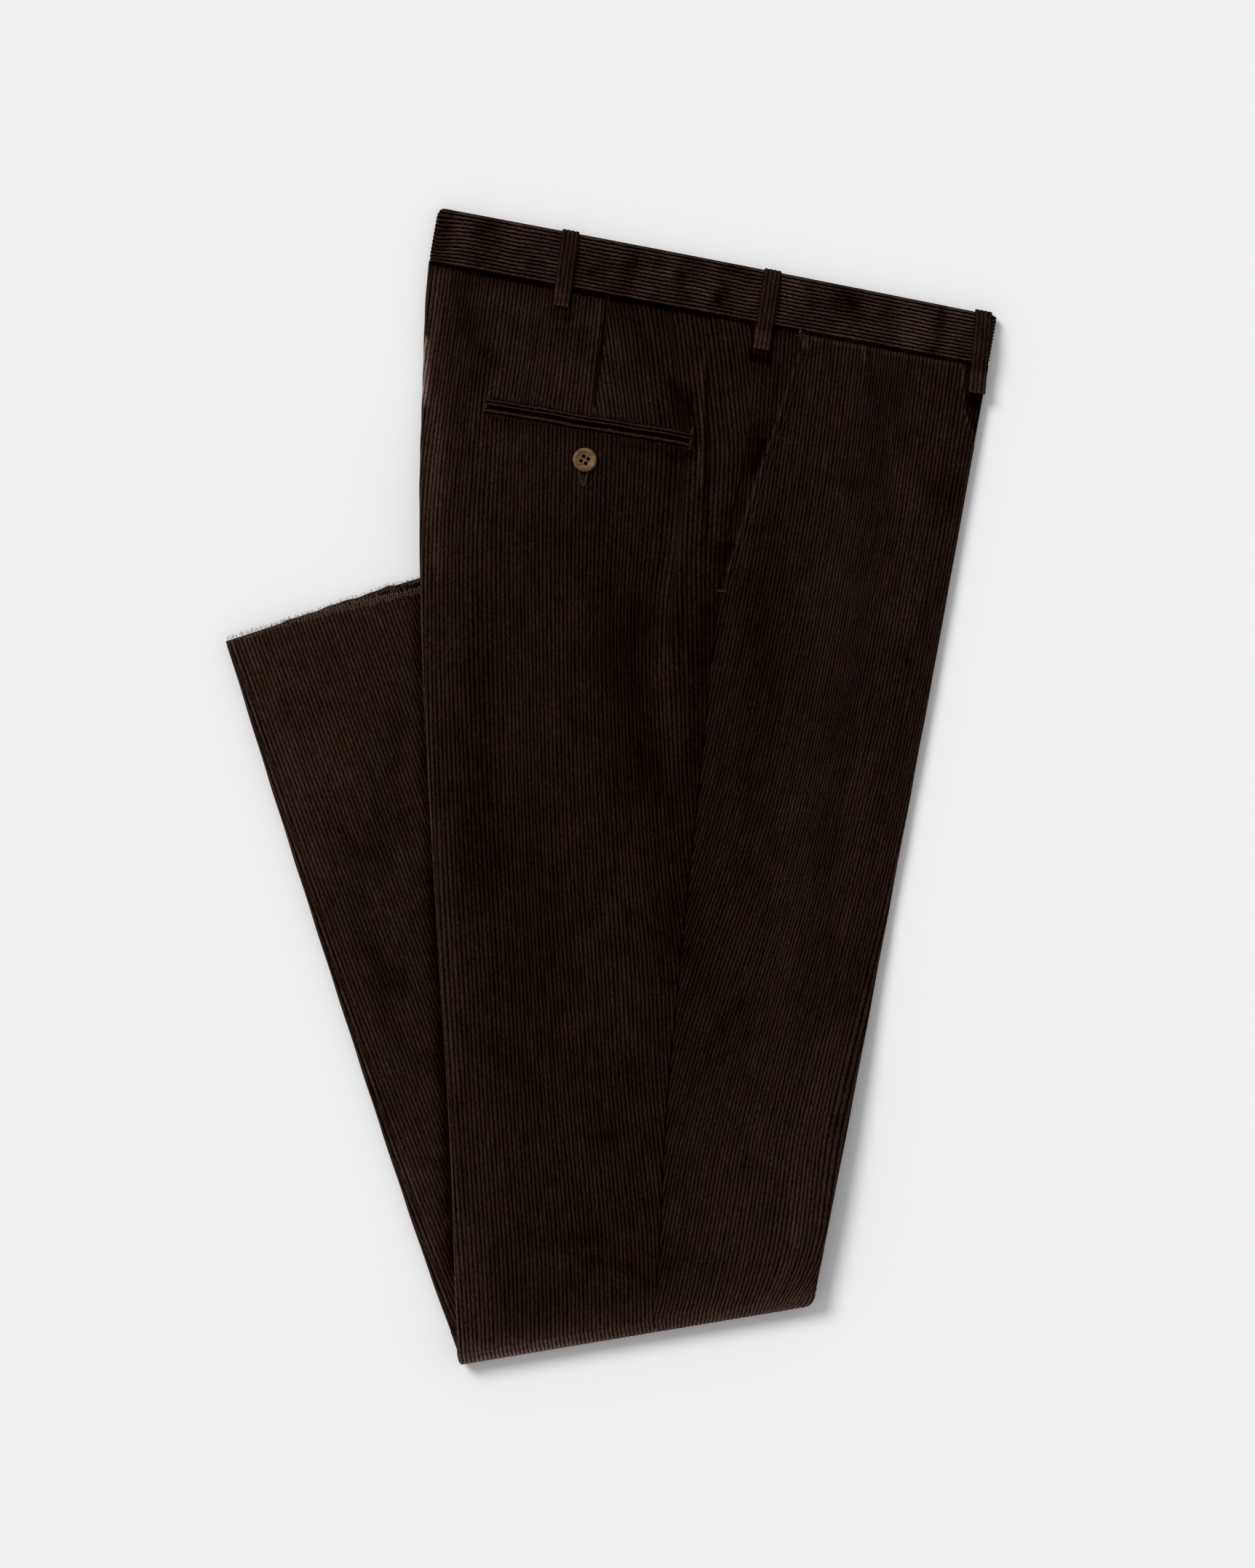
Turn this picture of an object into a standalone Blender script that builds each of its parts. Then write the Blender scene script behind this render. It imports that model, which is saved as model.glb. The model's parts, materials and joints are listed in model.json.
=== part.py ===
"""Corduroy trousers, folded lengthwise and then across the knee, lying flat.

Every wall follows one bundle of four cloth layers. A place in the bundle has three numbers: how far across
it lies, its station (0 at the waist seam, 1 to 2 round the knee fold, 3 at the hem) and its height over the
face that the knee fold turns on to itself. Lengths are in millimetres until a point is placed.
"""
import bpy
import bmesh
from bisect import bisect_right
from math import cos, pi, sin, sqrt
from mathutils import Matrix, Vector

MM = 0.001

# Cloth
WALE = 2.54             # one wale with its furrow
RELIEF = 0.35           # height of a wale over the furrow
CLOTH = 1.8             # thickness of the corduroy
GAP = 0.3               # between pieces that meet
SLACK = 0.8             # between a panel and the layers under it
FOLD = CLOTH + GAP / 2  # outer radius of one layer folded on to itself
STACK = 8.55            # height of the four layers over the knee fold's axis
TUCK = 4.0              # how far a panel runs back under its fold
WIDEST = 210.0          # no panel is wider than this
REACH = 30.0            # the thigh stays level this far past the lower leg's outline
DROP = 100.0            # distance over which it then sinks to the floor

# Outline seen from above: y, x of each fold
SEAT_FOLD = [(328.2, -113.0), (272.0, -117.6), (180.0, -119.8), (68.0, -117.5), (-99.0, -108.3),
             (-206.0, -101.6), (-352.9, -96.2)]
FRONT_CREASE = [(263.2, 235.7), (67.0, 200.4), (-110.0, 167.2), (-315.3, 127.3)]
SHIN_FOLD = [(-352.9, -96.2), (-292.0, -118.0), (-201.0, -148.4), (-20.0, -206.6), (90.9, -241.1)]
SHIN_CREASE = [(-315.3, 127.3), (154.5, -45.2)]
KNEE_CORNER = 5.0       # rounding of the knee fold's front corner
CORNER_REACH = 40.0     # width of cloth that the rounding draws in

# Seams on the thigh: station, x
SIDE_SEAM = [(0.0, 87.6), (0.12, 84.8), (0.21, 72.7), (0.272, 67.0), (0.42, 57.5), (0.56, 48.2), (0.68, 40.5),
             (0.8, 33.8), (0.94, 29.3), (1.0, 26.1)]
SLASH = [(0.0, 121.7), (0.05, 111.0), (0.107, 99.8), (0.198, 81.6), (0.272, 67.2)]
TACK = 0.272            # station where the slash opening ends in the side seam
FLY_LINE = [(0.0, 15.0), (0.025, 13.8), (0.05, 11.0), (0.067, 6.7), (0.083, 0.0), (0.1, -8.5)]  # by station
FACING_DROP = 0.75      # the pocket facing lies this much lower than the front panel
FACING_GAP = 1.0        # between the facing and the side seam
FACING_THIN = 0.7       # its thickness as a share of the cloth's
LIP = 0.5               # how far the front panel rises at the side seam
LIP_WIDTH = 7.0

# Inner columns of a panel, by distance from its fold: round the fold, then as close as ridges and cuts need
FOLD_KEPT = [-5.5, -4.0, -1.0, FOLD, 4.0]
BACK_KEPT = FOLD_KEPT + list(range(14, 200, 12))
FRONT_KEPT = FOLD_KEPT + [6.0, 8.0, 10.0, 12.0, 13.5, 15.2]
FRONT_KEPT += list(range(24, 108, 12)) + list(range(110, 142, 5))
SHIN_KEPT = FOLD_KEPT + [14, 26] + list(range(40, 118, 10))

# Soft ridges in the thigh cloth: points along the ridge, height, half width
RIDGES = [
    ([(56.0, 275.0), (56.5, 225.0), (53.0, 178.0)], 1.3, 7.0),
    ([(50.0, 201.0), (25.0, 155.0), (13.0, 119.0), (24.0, 84.0), (38.0, 55.0), (46.0, 0.0), (45.0, -60.0)],
     1.7, 13.0),
    ([(-112.0, 300.0), (-104.0, 240.0), (-110.0, 170.0)], 1.2, 6.0),
    ([(-60.0, 285.0), (-78.0, 205.0), (-82.0, 120.0)], 0.9, 12.0),
]

RIDGE_FADE = 14.0       # the ridges die out over this width beside a fold

# Lower leg
SHIN_SEAM = 117.3       # distance of the side seam from the fold
SEAM_SHOWS = 2.7        # past this station the side seam comes out from under the thigh
SHIN_CUT = (26.0, 153.0)  # distance from the fold, at the knee and the hem, where the shown cloth ends
HEM_STEP = 2.5          # the inner layers reach this far past the top layer's hem

# Hidden layers
CORE_FLAT = 6.5         # a layer is flat from this far in from its fold
CORE_CELLS = 16         # cells across a layer
CORE_COVERED = 6        # of them, those under the lower leg's shown cloth
CORE_STEP = 0.0015      # the step where the covering cloth changes sides, in stations
TRIM_GAP = 3.0          # between the shown cloth's cut edge and the layers beside it
TUBE = (STACK - 2 * FOLD - GAP - GAP / 2) / 2   # half the height of the leg tube next to the knee fold's axis
INSET = FOLD + TUCK + 0.6                       # the layers inside a panel's fold stop this far from it
HEM_SLOT_DEEP = 12.0    # openings between the layers at the hem
HEM_SLOT_HIGH = 0.5
HEM_SLOTS = [(GAP / 2 + 2 * TUBE - 0.1, -5.0),  # depth below the knee fold's axis, how far in from the folds
             (STACK - CLOTH - 0.2, 6.0)]

# Waistband
BAND_TOP = [(-107.5, 361.4), (241.1, 293.6)]
BAND_SEAM = [(-113.0, 328.2), (235.7, 263.2)]
BAND_WALL = 4.0
BAND_HIGH = 9.0
BAND_WALES = 14
BAND_KEPT = [0, 1, 2, 10, 19, 2 * BAND_WALES]   # inner columns
LOOP_WIDTH = 10.8
LOOP_THICK = 2.2
LOOP_COLUMNS = 9
LOOP_DOME = 0.4         # its middle stands this much higher than its edges
LOOP_RISE = [(7.0, 1.0), (16.0, 2.0), (26.0, 1.6)]   # from the band's top edge, height over the band
LOOPS = {"belt_loop_back": (-25.5, (-31.6, 300.3)),  # x on the band's top edge, and the loop's lower end
         "belt_loop_side": (100.7, (93.4, 273.3)),
         "belt_loop_front": (232.4, (227.9, 245.9))}

# Back pocket
WELT_FROM = (-78.9, 237.3)
WELT_TO = (49.8, 215.9)
WELTS = {"pocket_welt_upper": (0.5, 5.3), "pocket_welt_lower": (-4.0, -0.5)}  # its edges, over the slit
WELT_THICK = 1.2
WELT_ROUND = 0.35       # its long edges are this much lower
BUTTON_AT = (-16.7, 203.5)
BUTTON_RADIUS = 7.5
BUTTON_THICK = 3.0
BUTTON_HOLE = 1.0
BUTTON_PITCH = 3.15     # between its holes
BUTTON_SEAT = 0.7       # its underside is this far over the panel

# Stations of the rows, the same in every layer so that the layers stay parallel
THIGH_ROWS = [0.0, 0.04, 0.08, 0.125, 0.18, 0.25, 0.34, 0.45, 0.57, 0.7, 0.84, 1.0]
TURN_ROWS = [1.25, 1.5, 1.75, 2.0]
WRAP_END = 2.012        # the right panels end here, just past the knee fold
SHIN_ROWS = [2.03, 2.16, 2.3, 2.45, 2.6, 2.75, 2.9, 3.0]

COLOURS = {
    "cloth": (0.0090, 0.0045, 0.0030),
    "lower": (0.0140, 0.0085, 0.0065),
    "button": (0.105, 0.060, 0.030),
}


# ---------------------------------------------------------------- the folded bundle

def soft(table, at):
    """Value at a station on a smooth curve through a table of (station, value) rows."""
    keys = [row[0] for row in table]
    if keys[0] > keys[-1]:
        table = [(-key, value) for key, value in table]
        keys = [row[0] for row in table]
        at = -at
    k = min(max(bisect_right(keys, at) - 1, 0), len(table) - 2)

    def slope(n):
        low, high = max(n - 1, 0), min(n + 1, len(table) - 1)
        return (table[high][1] - table[low][1]) / (table[high][0] - table[low][0])

    span = keys[k + 1] - keys[k]
    u = (at - keys[k]) / span
    if u < 0 or u > 1:
        end = k if u < 0 else k + 1
        return table[end][1] + slope(end) * (at - keys[end])
    return ((1 + 2 * u) * (1 - u) ** 2 * table[k][1] + u * (1 - u) ** 2 * span * slope(k)
            + u * u * (3 - 2 * u) * table[k + 1][1] - u * u * (1 - u) * span * slope(k + 1))


def blend(a, b, u):
    return a + (b - a) * u


def ease(u):
    u = min(max(u, 0.0), 1.0)
    return u * u * (3 - 2 * u)


def row_ends(station):
    """Plan points of the two folds that a row of the bundle joins."""
    if station < 1:
        left, right, u = SEAT_FOLD, FRONT_CREASE, station
    elif station <= 2:
        left, right, u = SHIN_FOLD, SHIN_CREASE, 0.0
    else:
        left, right, u = SHIN_FOLD, SHIN_CREASE, station - 2
    y_left = blend(left[0][0], left[-1][0], u)
    y_right = blend(right[0][0], right[-1][0], u)
    a = Vector((soft(left, y_left), y_left))
    b = Vector((soft(right, y_right), y_right))
    return a, b


def width(station):
    a, b = row_ends(station)
    return (b - a).length


KNEE_LEFT, KNEE_RIGHT = row_ends(1.0)
HEM_LEFT, HEM_RIGHT = row_ends(3.0)
KNEE_OUT = Vector((KNEE_RIGHT.y - KNEE_LEFT.y, KNEE_LEFT.x - KNEE_RIGHT.x)).normalized()
SHIN_OUTLINE = [KNEE_LEFT, KNEE_RIGHT, HEM_RIGHT, HEM_LEFT]


def to_segment(p, a, b):
    along = b - a
    u = min(max((p - a).dot(along) / along.length_squared, 0.0), 1.0)
    return (p - a - along * u).length


def beside_shin(p):
    """Distance from a plan point to the lower leg's outline, 0 over it."""
    edges = list(zip(SHIN_OUTLINE, SHIN_OUTLINE[1:] + SHIN_OUTLINE[:1]))
    if all((b - a).cross(p - a) >= 0 for a, b in edges):
        return 0.0
    return min(to_segment(p, a, b) for a, b in edges)


def ridge(p):
    """Height of the soft ridges at a plan point of the thigh."""
    rise = 0.0
    for points, high, half in RIDGES:
        line = [Vector(q) for q in points]
        away = min(to_segment(p, a, b) for a, b in zip(line, line[1:]))
        rise = max(rise, high * ease(1.5 - away / half))
    return rise


def thigh_z(p, height):
    over = ease(1 - (beside_shin(p) - REACH) / DROP)
    return over * (STACK + GAP / 2) + height - GAP / 2


def place(across, station, height):
    """Point in metres for a place in the bundle."""
    a, b = row_ends(station)
    along = (b - a).normalized()
    p = a + along * across
    if station <= 1:
        z = thigh_z(p, height)
    elif station < 2:
        turn = pi * (station - 1)
        drawn = KNEE_CORNER * sin(turn) ** 2 * ease(1 - ((b - a).length - across) / CORNER_REACH)
        p = p + KNEE_OUT * (height * sin(turn)) - along * drawn
        z = STACK + height * cos(turn)
    else:
        z = STACK - height
    return Vector((p.x, p.y, z)) * MM


def on_thigh(x, y, height):
    """Point in metres over a plan point of the thigh, at a height over its top."""
    p = Vector((x, y))
    return Vector((x, y, thigh_z(p, STACK + height) + ridge(p))) * MM


def round_fold(d, depth):
    """Distance from the fold line and depth below the top for cloth that rounds a fold at d = 0."""
    if d >= FOLD:
        return d, depth
    angle = min((FOLD - d) / FOLD, pi)
    e = FOLD - (FOLD - depth) * sin(angle)
    if angle >= pi:
        e += (FOLD - d) - pi * FOLD
    return e, FOLD - (FOLD - depth) * cos(angle)


# ---------------------------------------------------------------- walls

def make_object(name, bm, slot):
    bmesh.ops.remove_doubles(bm, verts=bm.verts, dist=0.02 * MM)
    loose = [v for v in bm.verts if not v.link_faces]
    bmesh.ops.delete(bm, geom=loose, context="VERTS")
    bmesh.ops.recalc_face_normals(bm, faces=bm.faces)
    if bm.calc_volume(signed=True) < 0:
        bmesh.ops.reverse_faces(bm, faces=bm.faces)
    mesh = bpy.data.meshes.new(name)
    bm.to_mesh(mesh)
    bm.free()
    part = bpy.data.objects.new(name, mesh)
    bpy.context.collection.objects.link(part)
    material = bpy.data.materials.new(name)
    material.use_nodes = True
    shader = material.node_tree.nodes["Principled BSDF"]
    shader.inputs["Base Color"].default_value = (*COLOURS[slot], 1)
    shader.inputs["Roughness"].default_value = 0.35 if slot == "button" else 0.9
    shader.inputs["Metallic"].default_value = 0.0
    material.diffuse_color = (*COLOURS[slot], 1)
    mesh.materials.append(material)
    return part


def make_wall(name, columns, rows, outer, inner, kept, slot="cloth", ring=False, notch=None):
    """A closed wall: a fine outer skin and a plain inner one that has only the kept columns.

    With notch=(column, row), the columns past that one stop at that row.
    """
    bm = bmesh.new()
    notch_column, notch_row = notch or (columns - 1, rows - 1)
    out = [[bm.verts.new(outer(i, j)) for j in range(rows)] for i in range(columns)]
    back = {i: [bm.verts.new(inner(i, j)) for j in range(rows)] for i in kept}
    pairs = list(zip(kept, kept[1:]))

    def last_row(column):
        return notch_row if column > notch_column else rows - 1

    def side(i, steps):
        for j in steps:
            n = (j + 1) % rows
            bm.faces.new((out[i][n], out[i][j], back[i][j], back[i][n]))

    for i in range(columns - 1):
        for j in range(rows if ring else last_row(i + 1)):
            n = (j + 1) % rows
            bm.faces.new((out[i][j], out[i + 1][j], out[i + 1][n], out[i][n]))
    for i, k in pairs:
        for j in range(rows if ring else last_row(k)):
            n = (j + 1) % rows
            bm.faces.new((back[i][n], back[k][n], back[k][j], back[i][j]))
        for j in () if ring else (0, last_row(k)):
            bm.faces.new([out[c][j] for c in range(i, k + 1)] + [back[k][j], back[i][j]])
    side(0, range(rows if ring else rows - 1))
    side(columns - 1, range(rows if ring else last_row(columns - 1)))
    if notch:
        side(notch_column, range(notch_row, rows - 1))
    return make_object(name, bm, slot)


def span(inside, first, last, parts=600):
    """First and last station at which a column lies inside its panel."""
    stations = [blend(first, last, k / parts) for k in range(parts + 1)]
    held = [s for s in stations if inside(s)]
    return (held[0], held[-1]) if held else None


def make_panel(name, first, stations, inside, point, kept_at, slot="cloth", full_to=None):
    """A panel whose columns run along the wales, from distance first on, cut where inside says.

    The inner skin has columns at about the distances kept_at. Columns past full_to stop before the knee.
    """
    half = WALE / 2
    if full_to:
        first = full_to - half * int((full_to - first) / half)
    columns = []
    for i in range(int((WIDEST - first) / half) + 1):
        d = first + i * half
        reach = span(lambda s: inside(d, s), stations[0], stations[-1])
        if reach:
            columns.append((d, reach))
    notch = None
    if full_to:
        full = min(range(len(columns)), key=lambda i: abs(columns[i][0] - full_to))
        columns[full] = (full_to, (columns[full][1][0], stations[-1]))
        notch = (full, stations.index(1.0))
    distances = [d for d, _ in columns]
    kept = {0, len(columns) - 1} | ({notch[0]} if notch else set())
    kept |= {min(range(len(distances)), key=lambda i: abs(distances[i] - at)) for at in kept_at}

    def station(i, j):
        low, high = columns[i][1]
        return min(max(stations[j], low), high)

    def outer(i, j):
        return point(columns[i][0], station(i, j), RELIEF if i % 2 else 0.0)

    def inner(i, j):
        return point(columns[i][0], station(i, j), CLOTH)

    return make_wall(name, len(columns), len(stations), outer, inner, sorted(kept), slot, notch=notch)


# ---------------------------------------------------------------- panels of the right leg

def across_of(x, station):
    """Distance of a seam from the left fold, where the seam is given by its x."""
    a, b = row_ends(station)
    return (x - a.x) / (b - a).normalized().x


def seam_across(station):
    return across_of(soft(SIDE_SEAM, min(station, 1.0)), min(station, 1.0))


def slash_across(station):
    return across_of(soft(SLASH, station), station)


def front_edge(station):
    return slash_across(station) if station < TACK else seam_across(station)


def raised(point_across, station, height):
    """A thigh point with the soft ridges added."""
    if station > 1:
        return place(point_across, station, height)
    a, b = row_ends(station)
    p = a + (b - a).normalized() * point_across
    from_fold = min(point_across, (b - a).length - point_across)
    return place(point_across, station, height) + Vector((0, 0, ridge(p) * ease(from_fold / RIDGE_FADE) * MM))


def back_point(d, station, depth):
    e, down = round_fold(d, depth)
    return raised(e, station, STACK - down)


def front_point(d, station, depth):
    e, down = round_fold(d, depth)
    to_seam = width(station) - d - front_edge(station)
    lip = LIP * ease(1 - to_seam / LIP_WIDTH) if depth < CLOTH and station < 1 else 0.0
    return raised(width(station) - e, station, STACK - down + lip)


def facing_point(d, station, depth):
    return raised(seam_across(station) + FACING_GAP + d, station, STACK - FACING_DROP - depth * FACING_THIN)


def right_leg():
    wrap = -(pi - 1) * FOLD - TUCK
    rows = THIGH_ROWS + TURN_ROWS + [WRAP_END]
    fly_end = FLY_LINE[-1][0]
    make_panel("right_back", wrap, rows, lambda d, s: d <= seam_across(s) - GAP / 2, back_point, BACK_KEPT,
               full_to=seam_across(1.0) - GAP / 2)
    make_panel("right_front", wrap, rows,
               lambda d, s: (d <= width(s) - front_edge(s) - 2 * GAP
                             and (s > fly_end or d >= soft(FLY_LINE, s) + GAP)),
               front_point, FRONT_KEPT, full_to=width(1.0) - seam_across(1.0) - GAP / 2)
    make_panel("side_pocket_facing", 0.0, [s for s in THIGH_ROWS if s < TACK],
               lambda d, s: seam_across(s) + FACING_GAP + d <= slash_across(s) - GAP, facing_point, [10, 20])
    make_panel("fly", wrap, [fly_end * k / 5 for k in range(6)],
               lambda d, s: d <= soft(FLY_LINE, s) - GAP / 2, front_point, FOLD_KEPT + [7.0])


# ---------------------------------------------------------------- lower leg

def shin_cut(station):
    """Distance from the shin's fold at which its shown cloth ends, under the thigh."""
    return blend(*SHIN_CUT, min(station, 3.0) - 2)


def shin_point(d, station, depth):
    e, down = round_fold(d, depth)
    return place(e, station, GAP / 2 + down)


def shin_front_point(d, station, depth):
    return place(SHIN_SEAM + GAP / 2 + d, station, GAP / 2 + depth)


def lower_leg():
    wrap = -(pi - 1) * FOLD - TUCK
    make_panel("left_back", wrap, SHIN_ROWS, lambda d, s: d <= min(shin_cut(s), SHIN_SEAM - GAP / 2),
               shin_point, SHIN_KEPT, slot="lower")
    make_panel("left_front", 0.0, [s for s in SHIN_ROWS if s > SEAM_SHOWS],
               lambda d, s: SHIN_SEAM + GAP / 2 + d <= shin_cut(s), shin_front_point, range(4, 36, 4),
               slot="lower")


# ---------------------------------------------------------------- hidden layers

def lobe(low, high):
    """Rounded fold between two heights: distance in from the fold line, height."""
    r = (high - low) / 2
    return [(r - r * cos(a), low + r + r * sin(a)) for a in (-pi / 2, -pi / 4, 0, pi / 4, pi / 2)]


def ledge(low, high):
    """Straight end of the layers inside a panel's fold."""
    return [(INSET, blend(low, high, k / 4)) for k in range(5)]


def core_ring(station, split, inner_bare, outer_bare):
    """Ring of places round the hidden layers; bare says that no panel covers that side."""
    tube_top = GAP / 2 + 2 * TUBE
    low = GAP / 2 if inner_bare else GAP / 2 + CLOTH + SLACK
    high = STACK if outer_bare else STACK - CLOTH - SLACK
    near = lobe(GAP / 2, tube_top) if inner_bare else ledge(low, tube_top)
    far = lobe(tube_top + GAP, STACK) if outer_bare else ledge(tube_top, high)
    near_right = lobe(GAP / 2, tube_top)
    wide, flat_end = width(station), width(station) - CORE_FLAT
    beside = CORE_COVERED + 1
    ring = []
    for k in range(1, CORE_CELLS):
        if inner_bare:
            ring.append((blend(CORE_FLAT, flat_end, k / CORE_CELLS), low))
        elif k < beside:
            ring.append((blend(INSET, split + TRIM_GAP / 2, k / CORE_COVERED), low))
        else:
            ring.append((blend(split + TRIM_GAP, flat_end, (k - beside) / (CORE_CELLS - beside)), GAP / 2))
    ring += [(wide - e, h) for e, h in near_right]
    ring += [(wide - e, h) for e, h in far]
    ring += [(blend(flat_end, CORE_FLAT, k / CORE_CELLS), high) for k in range(1, CORE_CELLS)]
    ring += [(e, h) for e, h in reversed(far)]
    ring += [(e, h) for e, h in reversed(near)]
    return [place(across, station, h) for across, h in ring]


def hidden_layers():
    rings = [core_ring(s, 0, True, False) for s in [CORE_STEP] + THIGH_ROWS[1:] + TURN_ROWS + [WRAP_END]]
    rings.append(core_ring(WRAP_END + CORE_STEP, 0, True, True))
    rings.append(core_ring(SHIN_ROWS[0] - CORE_STEP, 0, True, True))
    hem = 1 + HEM_STEP / (HEM_LEFT - KNEE_LEFT).length
    for s in SHIN_ROWS[:-1] + [2 + hem]:
        rings.append(core_ring(s, shin_cut(s), False, True))
    bm = bmesh.new()
    loops = [[bm.verts.new(p) for p in ring] for ring in rings]
    count = len(loops[0])
    for a, b in zip(loops, loops[1:]):
        for k in range(count):
            n = (k + 1) % count
            bm.faces.new((a[k], a[n], b[n], b[k]))
    bm.faces.new(loops[0])
    bm.faces.new(list(reversed(loops[-1])))
    make_object("hidden_layers", bm, "lower")


# ---------------------------------------------------------------- waistband and belt loops

def band_point(e, v, z):
    """Point in metres on the waistband, e from its left fold and v (0 to 1) from its top edge to the seam."""
    a = Vector(BAND_TOP[0]).lerp(Vector(BAND_SEAM[0]), v)
    b = Vector(BAND_TOP[1]).lerp(Vector(BAND_SEAM[1]), v)
    p = a + (b - a).normalized() * e
    return Vector((p.x, p.y, z)) * MM


def waistband():
    deep = (Vector(BAND_TOP[0]) - Vector(BAND_SEAM[0])).length
    wide = (Vector(BAND_TOP[0]) - Vector(BAND_TOP[1])).length
    radius = BAND_HIGH / 2
    edge = BAND_WALL / 2
    columns = 2 * BAND_WALES + 1
    top = [("top", k / 10) for k in range(11)]
    right = [("right", pi * k / 6) for k in range(1, 6)]
    bottom = [("bottom", k / 4) for k in range(5)]
    left = [("left", pi * k / 6) for k in range(1, 6)]
    path = top + right + bottom + left

    def point(i, j, rounding, from_inside):
        v = (i / (columns - 1)) * (1 - GAP / deep)
        depth = rounding if not from_inside else BAND_WALL - rounding
        side, u = path[j]
        r = radius - depth
        if side == "top":
            return band_point(blend(radius, wide - radius, u), v, BAND_HIGH - depth)
        if side == "bottom":
            return band_point(blend(wide - radius, radius, u), v, depth)
        if side == "right":
            return band_point(wide - radius + r * sin(u), v, radius + r * cos(u))
        return band_point(radius - r * sin(u), v, radius - r * cos(u))

    def roll(i):
        v = i / (columns - 1) * deep
        return edge - sqrt(max(edge ** 2 - max(edge - v, 0) ** 2, 0))

    def outer(i, j):
        flat = path[j][0] == "bottom"
        return point(i, j, roll(i) + (RELIEF if i % 2 and not flat else 0.0), False)

    def inner(i, j):
        return point(i, j, roll(i), True)

    make_wall("waistband", columns, len(path), outer, inner, BAND_KEPT, ring=True)


def belt_loop(name, top_x, bottom):
    band_left, band_right = Vector(BAND_TOP[0]), Vector(BAND_TOP[1])
    side = (band_right - band_left).normalized()
    a = band_left + side * ((top_x - band_left.x) / side.x)
    b = Vector(bottom)
    along = (b - a).normalized()
    length = (b - a).length
    edge = BAND_WALL / 2
    clear = GAP + 0.1
    deep = (Vector(BAND_TOP[0]) - Vector(BAND_SEAM[0])).length
    step = 5.0                                   # it comes down off the band over this distance
    lift = [(edge, GAP)] + LOOP_RISE + [(deep + 1, 2 * GAP), (deep + 1 + step, GAP), (length, GAP)]
    round_top = 3                                # rows round the band's top edge

    def base(p, far):
        return blend(BAND_HIGH, thigh_z(p, STACK) + ridge(p), ease((far - deep) / step))

    def point(i, j, high):
        u = i / (LOOP_COLUMNS - 1) - 0.5
        dome = LOOP_DOME * (1 - 4 * u * u)
        if j < round_top:
            angle = (pi / 2) * (1 - j / round_top)
            r = edge + clear + high
            far = edge - r * sin(angle)
            z = BAND_HIGH - edge + r * cos(angle)
        else:
            far, rise = lift[j - round_top]
            p = a + along * far
            z = base(p, far) + rise + clear - GAP + high + (dome if high else 0)
        p = a + along * far + side * (u * LOOP_WIDTH)
        return Vector((p.x, p.y, z)) * MM

    def outer(i, j):
        return point(i, j, LOOP_THICK - (RELIEF if i % 2 else 0.0))

    make_wall(name, LOOP_COLUMNS, round_top + len(lift), outer, lambda i, j: point(i, j, 0.0), [0, 4, 8])


# ---------------------------------------------------------------- back pocket

def pocket_welt(name, low, high):
    a, b = Vector(WELT_FROM), Vector(WELT_TO)
    along = (b - a).normalized()
    up = Vector((-along.y, along.x))
    columns, rows = 5, 12

    def point(i, j, rise):
        p = a.lerp(b, j / (rows - 1)) + up * blend(high, low, i / (columns - 1))
        return on_thigh(p.x, p.y, rise)

    def outer(i, j):
        rounded = WELT_ROUND if i in (0, columns - 1) else 0.0
        return point(i, j, GAP + WELT_THICK - (RELIEF if i == 2 else 0.0) - rounded)

    make_wall(name, columns, rows, outer, lambda i, j: point(i, j, GAP), [0, 2, 4])


def pocket_button():
    seat = on_thigh(*BUTTON_AT, BUTTON_SEAT)
    tilt = on_thigh(BUTTON_AT[0] + 5, BUTTON_AT[1], 0) - on_thigh(BUTTON_AT[0] - 5, BUTTON_AT[1], 0)
    lean = on_thigh(BUTTON_AT[0], BUTTON_AT[1] + 5, 0) - on_thigh(BUTTON_AT[0], BUTTON_AT[1] - 5, 0)
    normal = tilt.cross(lean).normalized()
    profile = [(0.0, 0.6), (0.62, 0.6), (0.74, 0.95), (0.88, 1.0),
               (1.0, 0.62), (0.94, 0.12), (0.8, 0.0), (0.0, 0.0)]
    bm = bmesh.new()
    verts = [bm.verts.new((r * BUTTON_RADIUS * MM, 0, h * BUTTON_THICK * MM)) for r, h in profile]
    edges = [bm.edges.new(pair) for pair in zip(verts, verts[1:])]
    bmesh.ops.spin(bm, geom=verts + edges, cent=(0, 0, 0), axis=(0, 0, 1), angle=2 * pi, steps=20,
                   use_merge=True)
    button = make_object("pocket_button", bm, "button")
    cutter = bmesh.new()
    for k in range(4):
        reach = BUTTON_PITCH / 2 * MM
        at = Vector((reach * (1 if k % 2 else -1), reach * (1 if k // 2 else -1), BUTTON_THICK / 2 * MM))
        radius = BUTTON_HOLE * MM
        bmesh.ops.create_cone(cutter, cap_ends=True, segments=8, radius1=radius, radius2=radius,
                              depth=3 * BUTTON_THICK * MM, matrix=Matrix.Translation(at))
    holes = bpy.data.objects.new("button_holes", bpy.data.meshes.new("button_holes"))
    cutter.to_mesh(holes.data)
    cutter.free()
    bpy.context.collection.objects.link(holes)
    holes.hide_render = True
    holes.display_type = "WIRE"
    holes.parent = button
    button.modifiers.new("holes", "BOOLEAN").object = holes
    button.location = seat
    button.rotation_euler = normal.to_track_quat("Z", "Y").to_euler()


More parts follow.
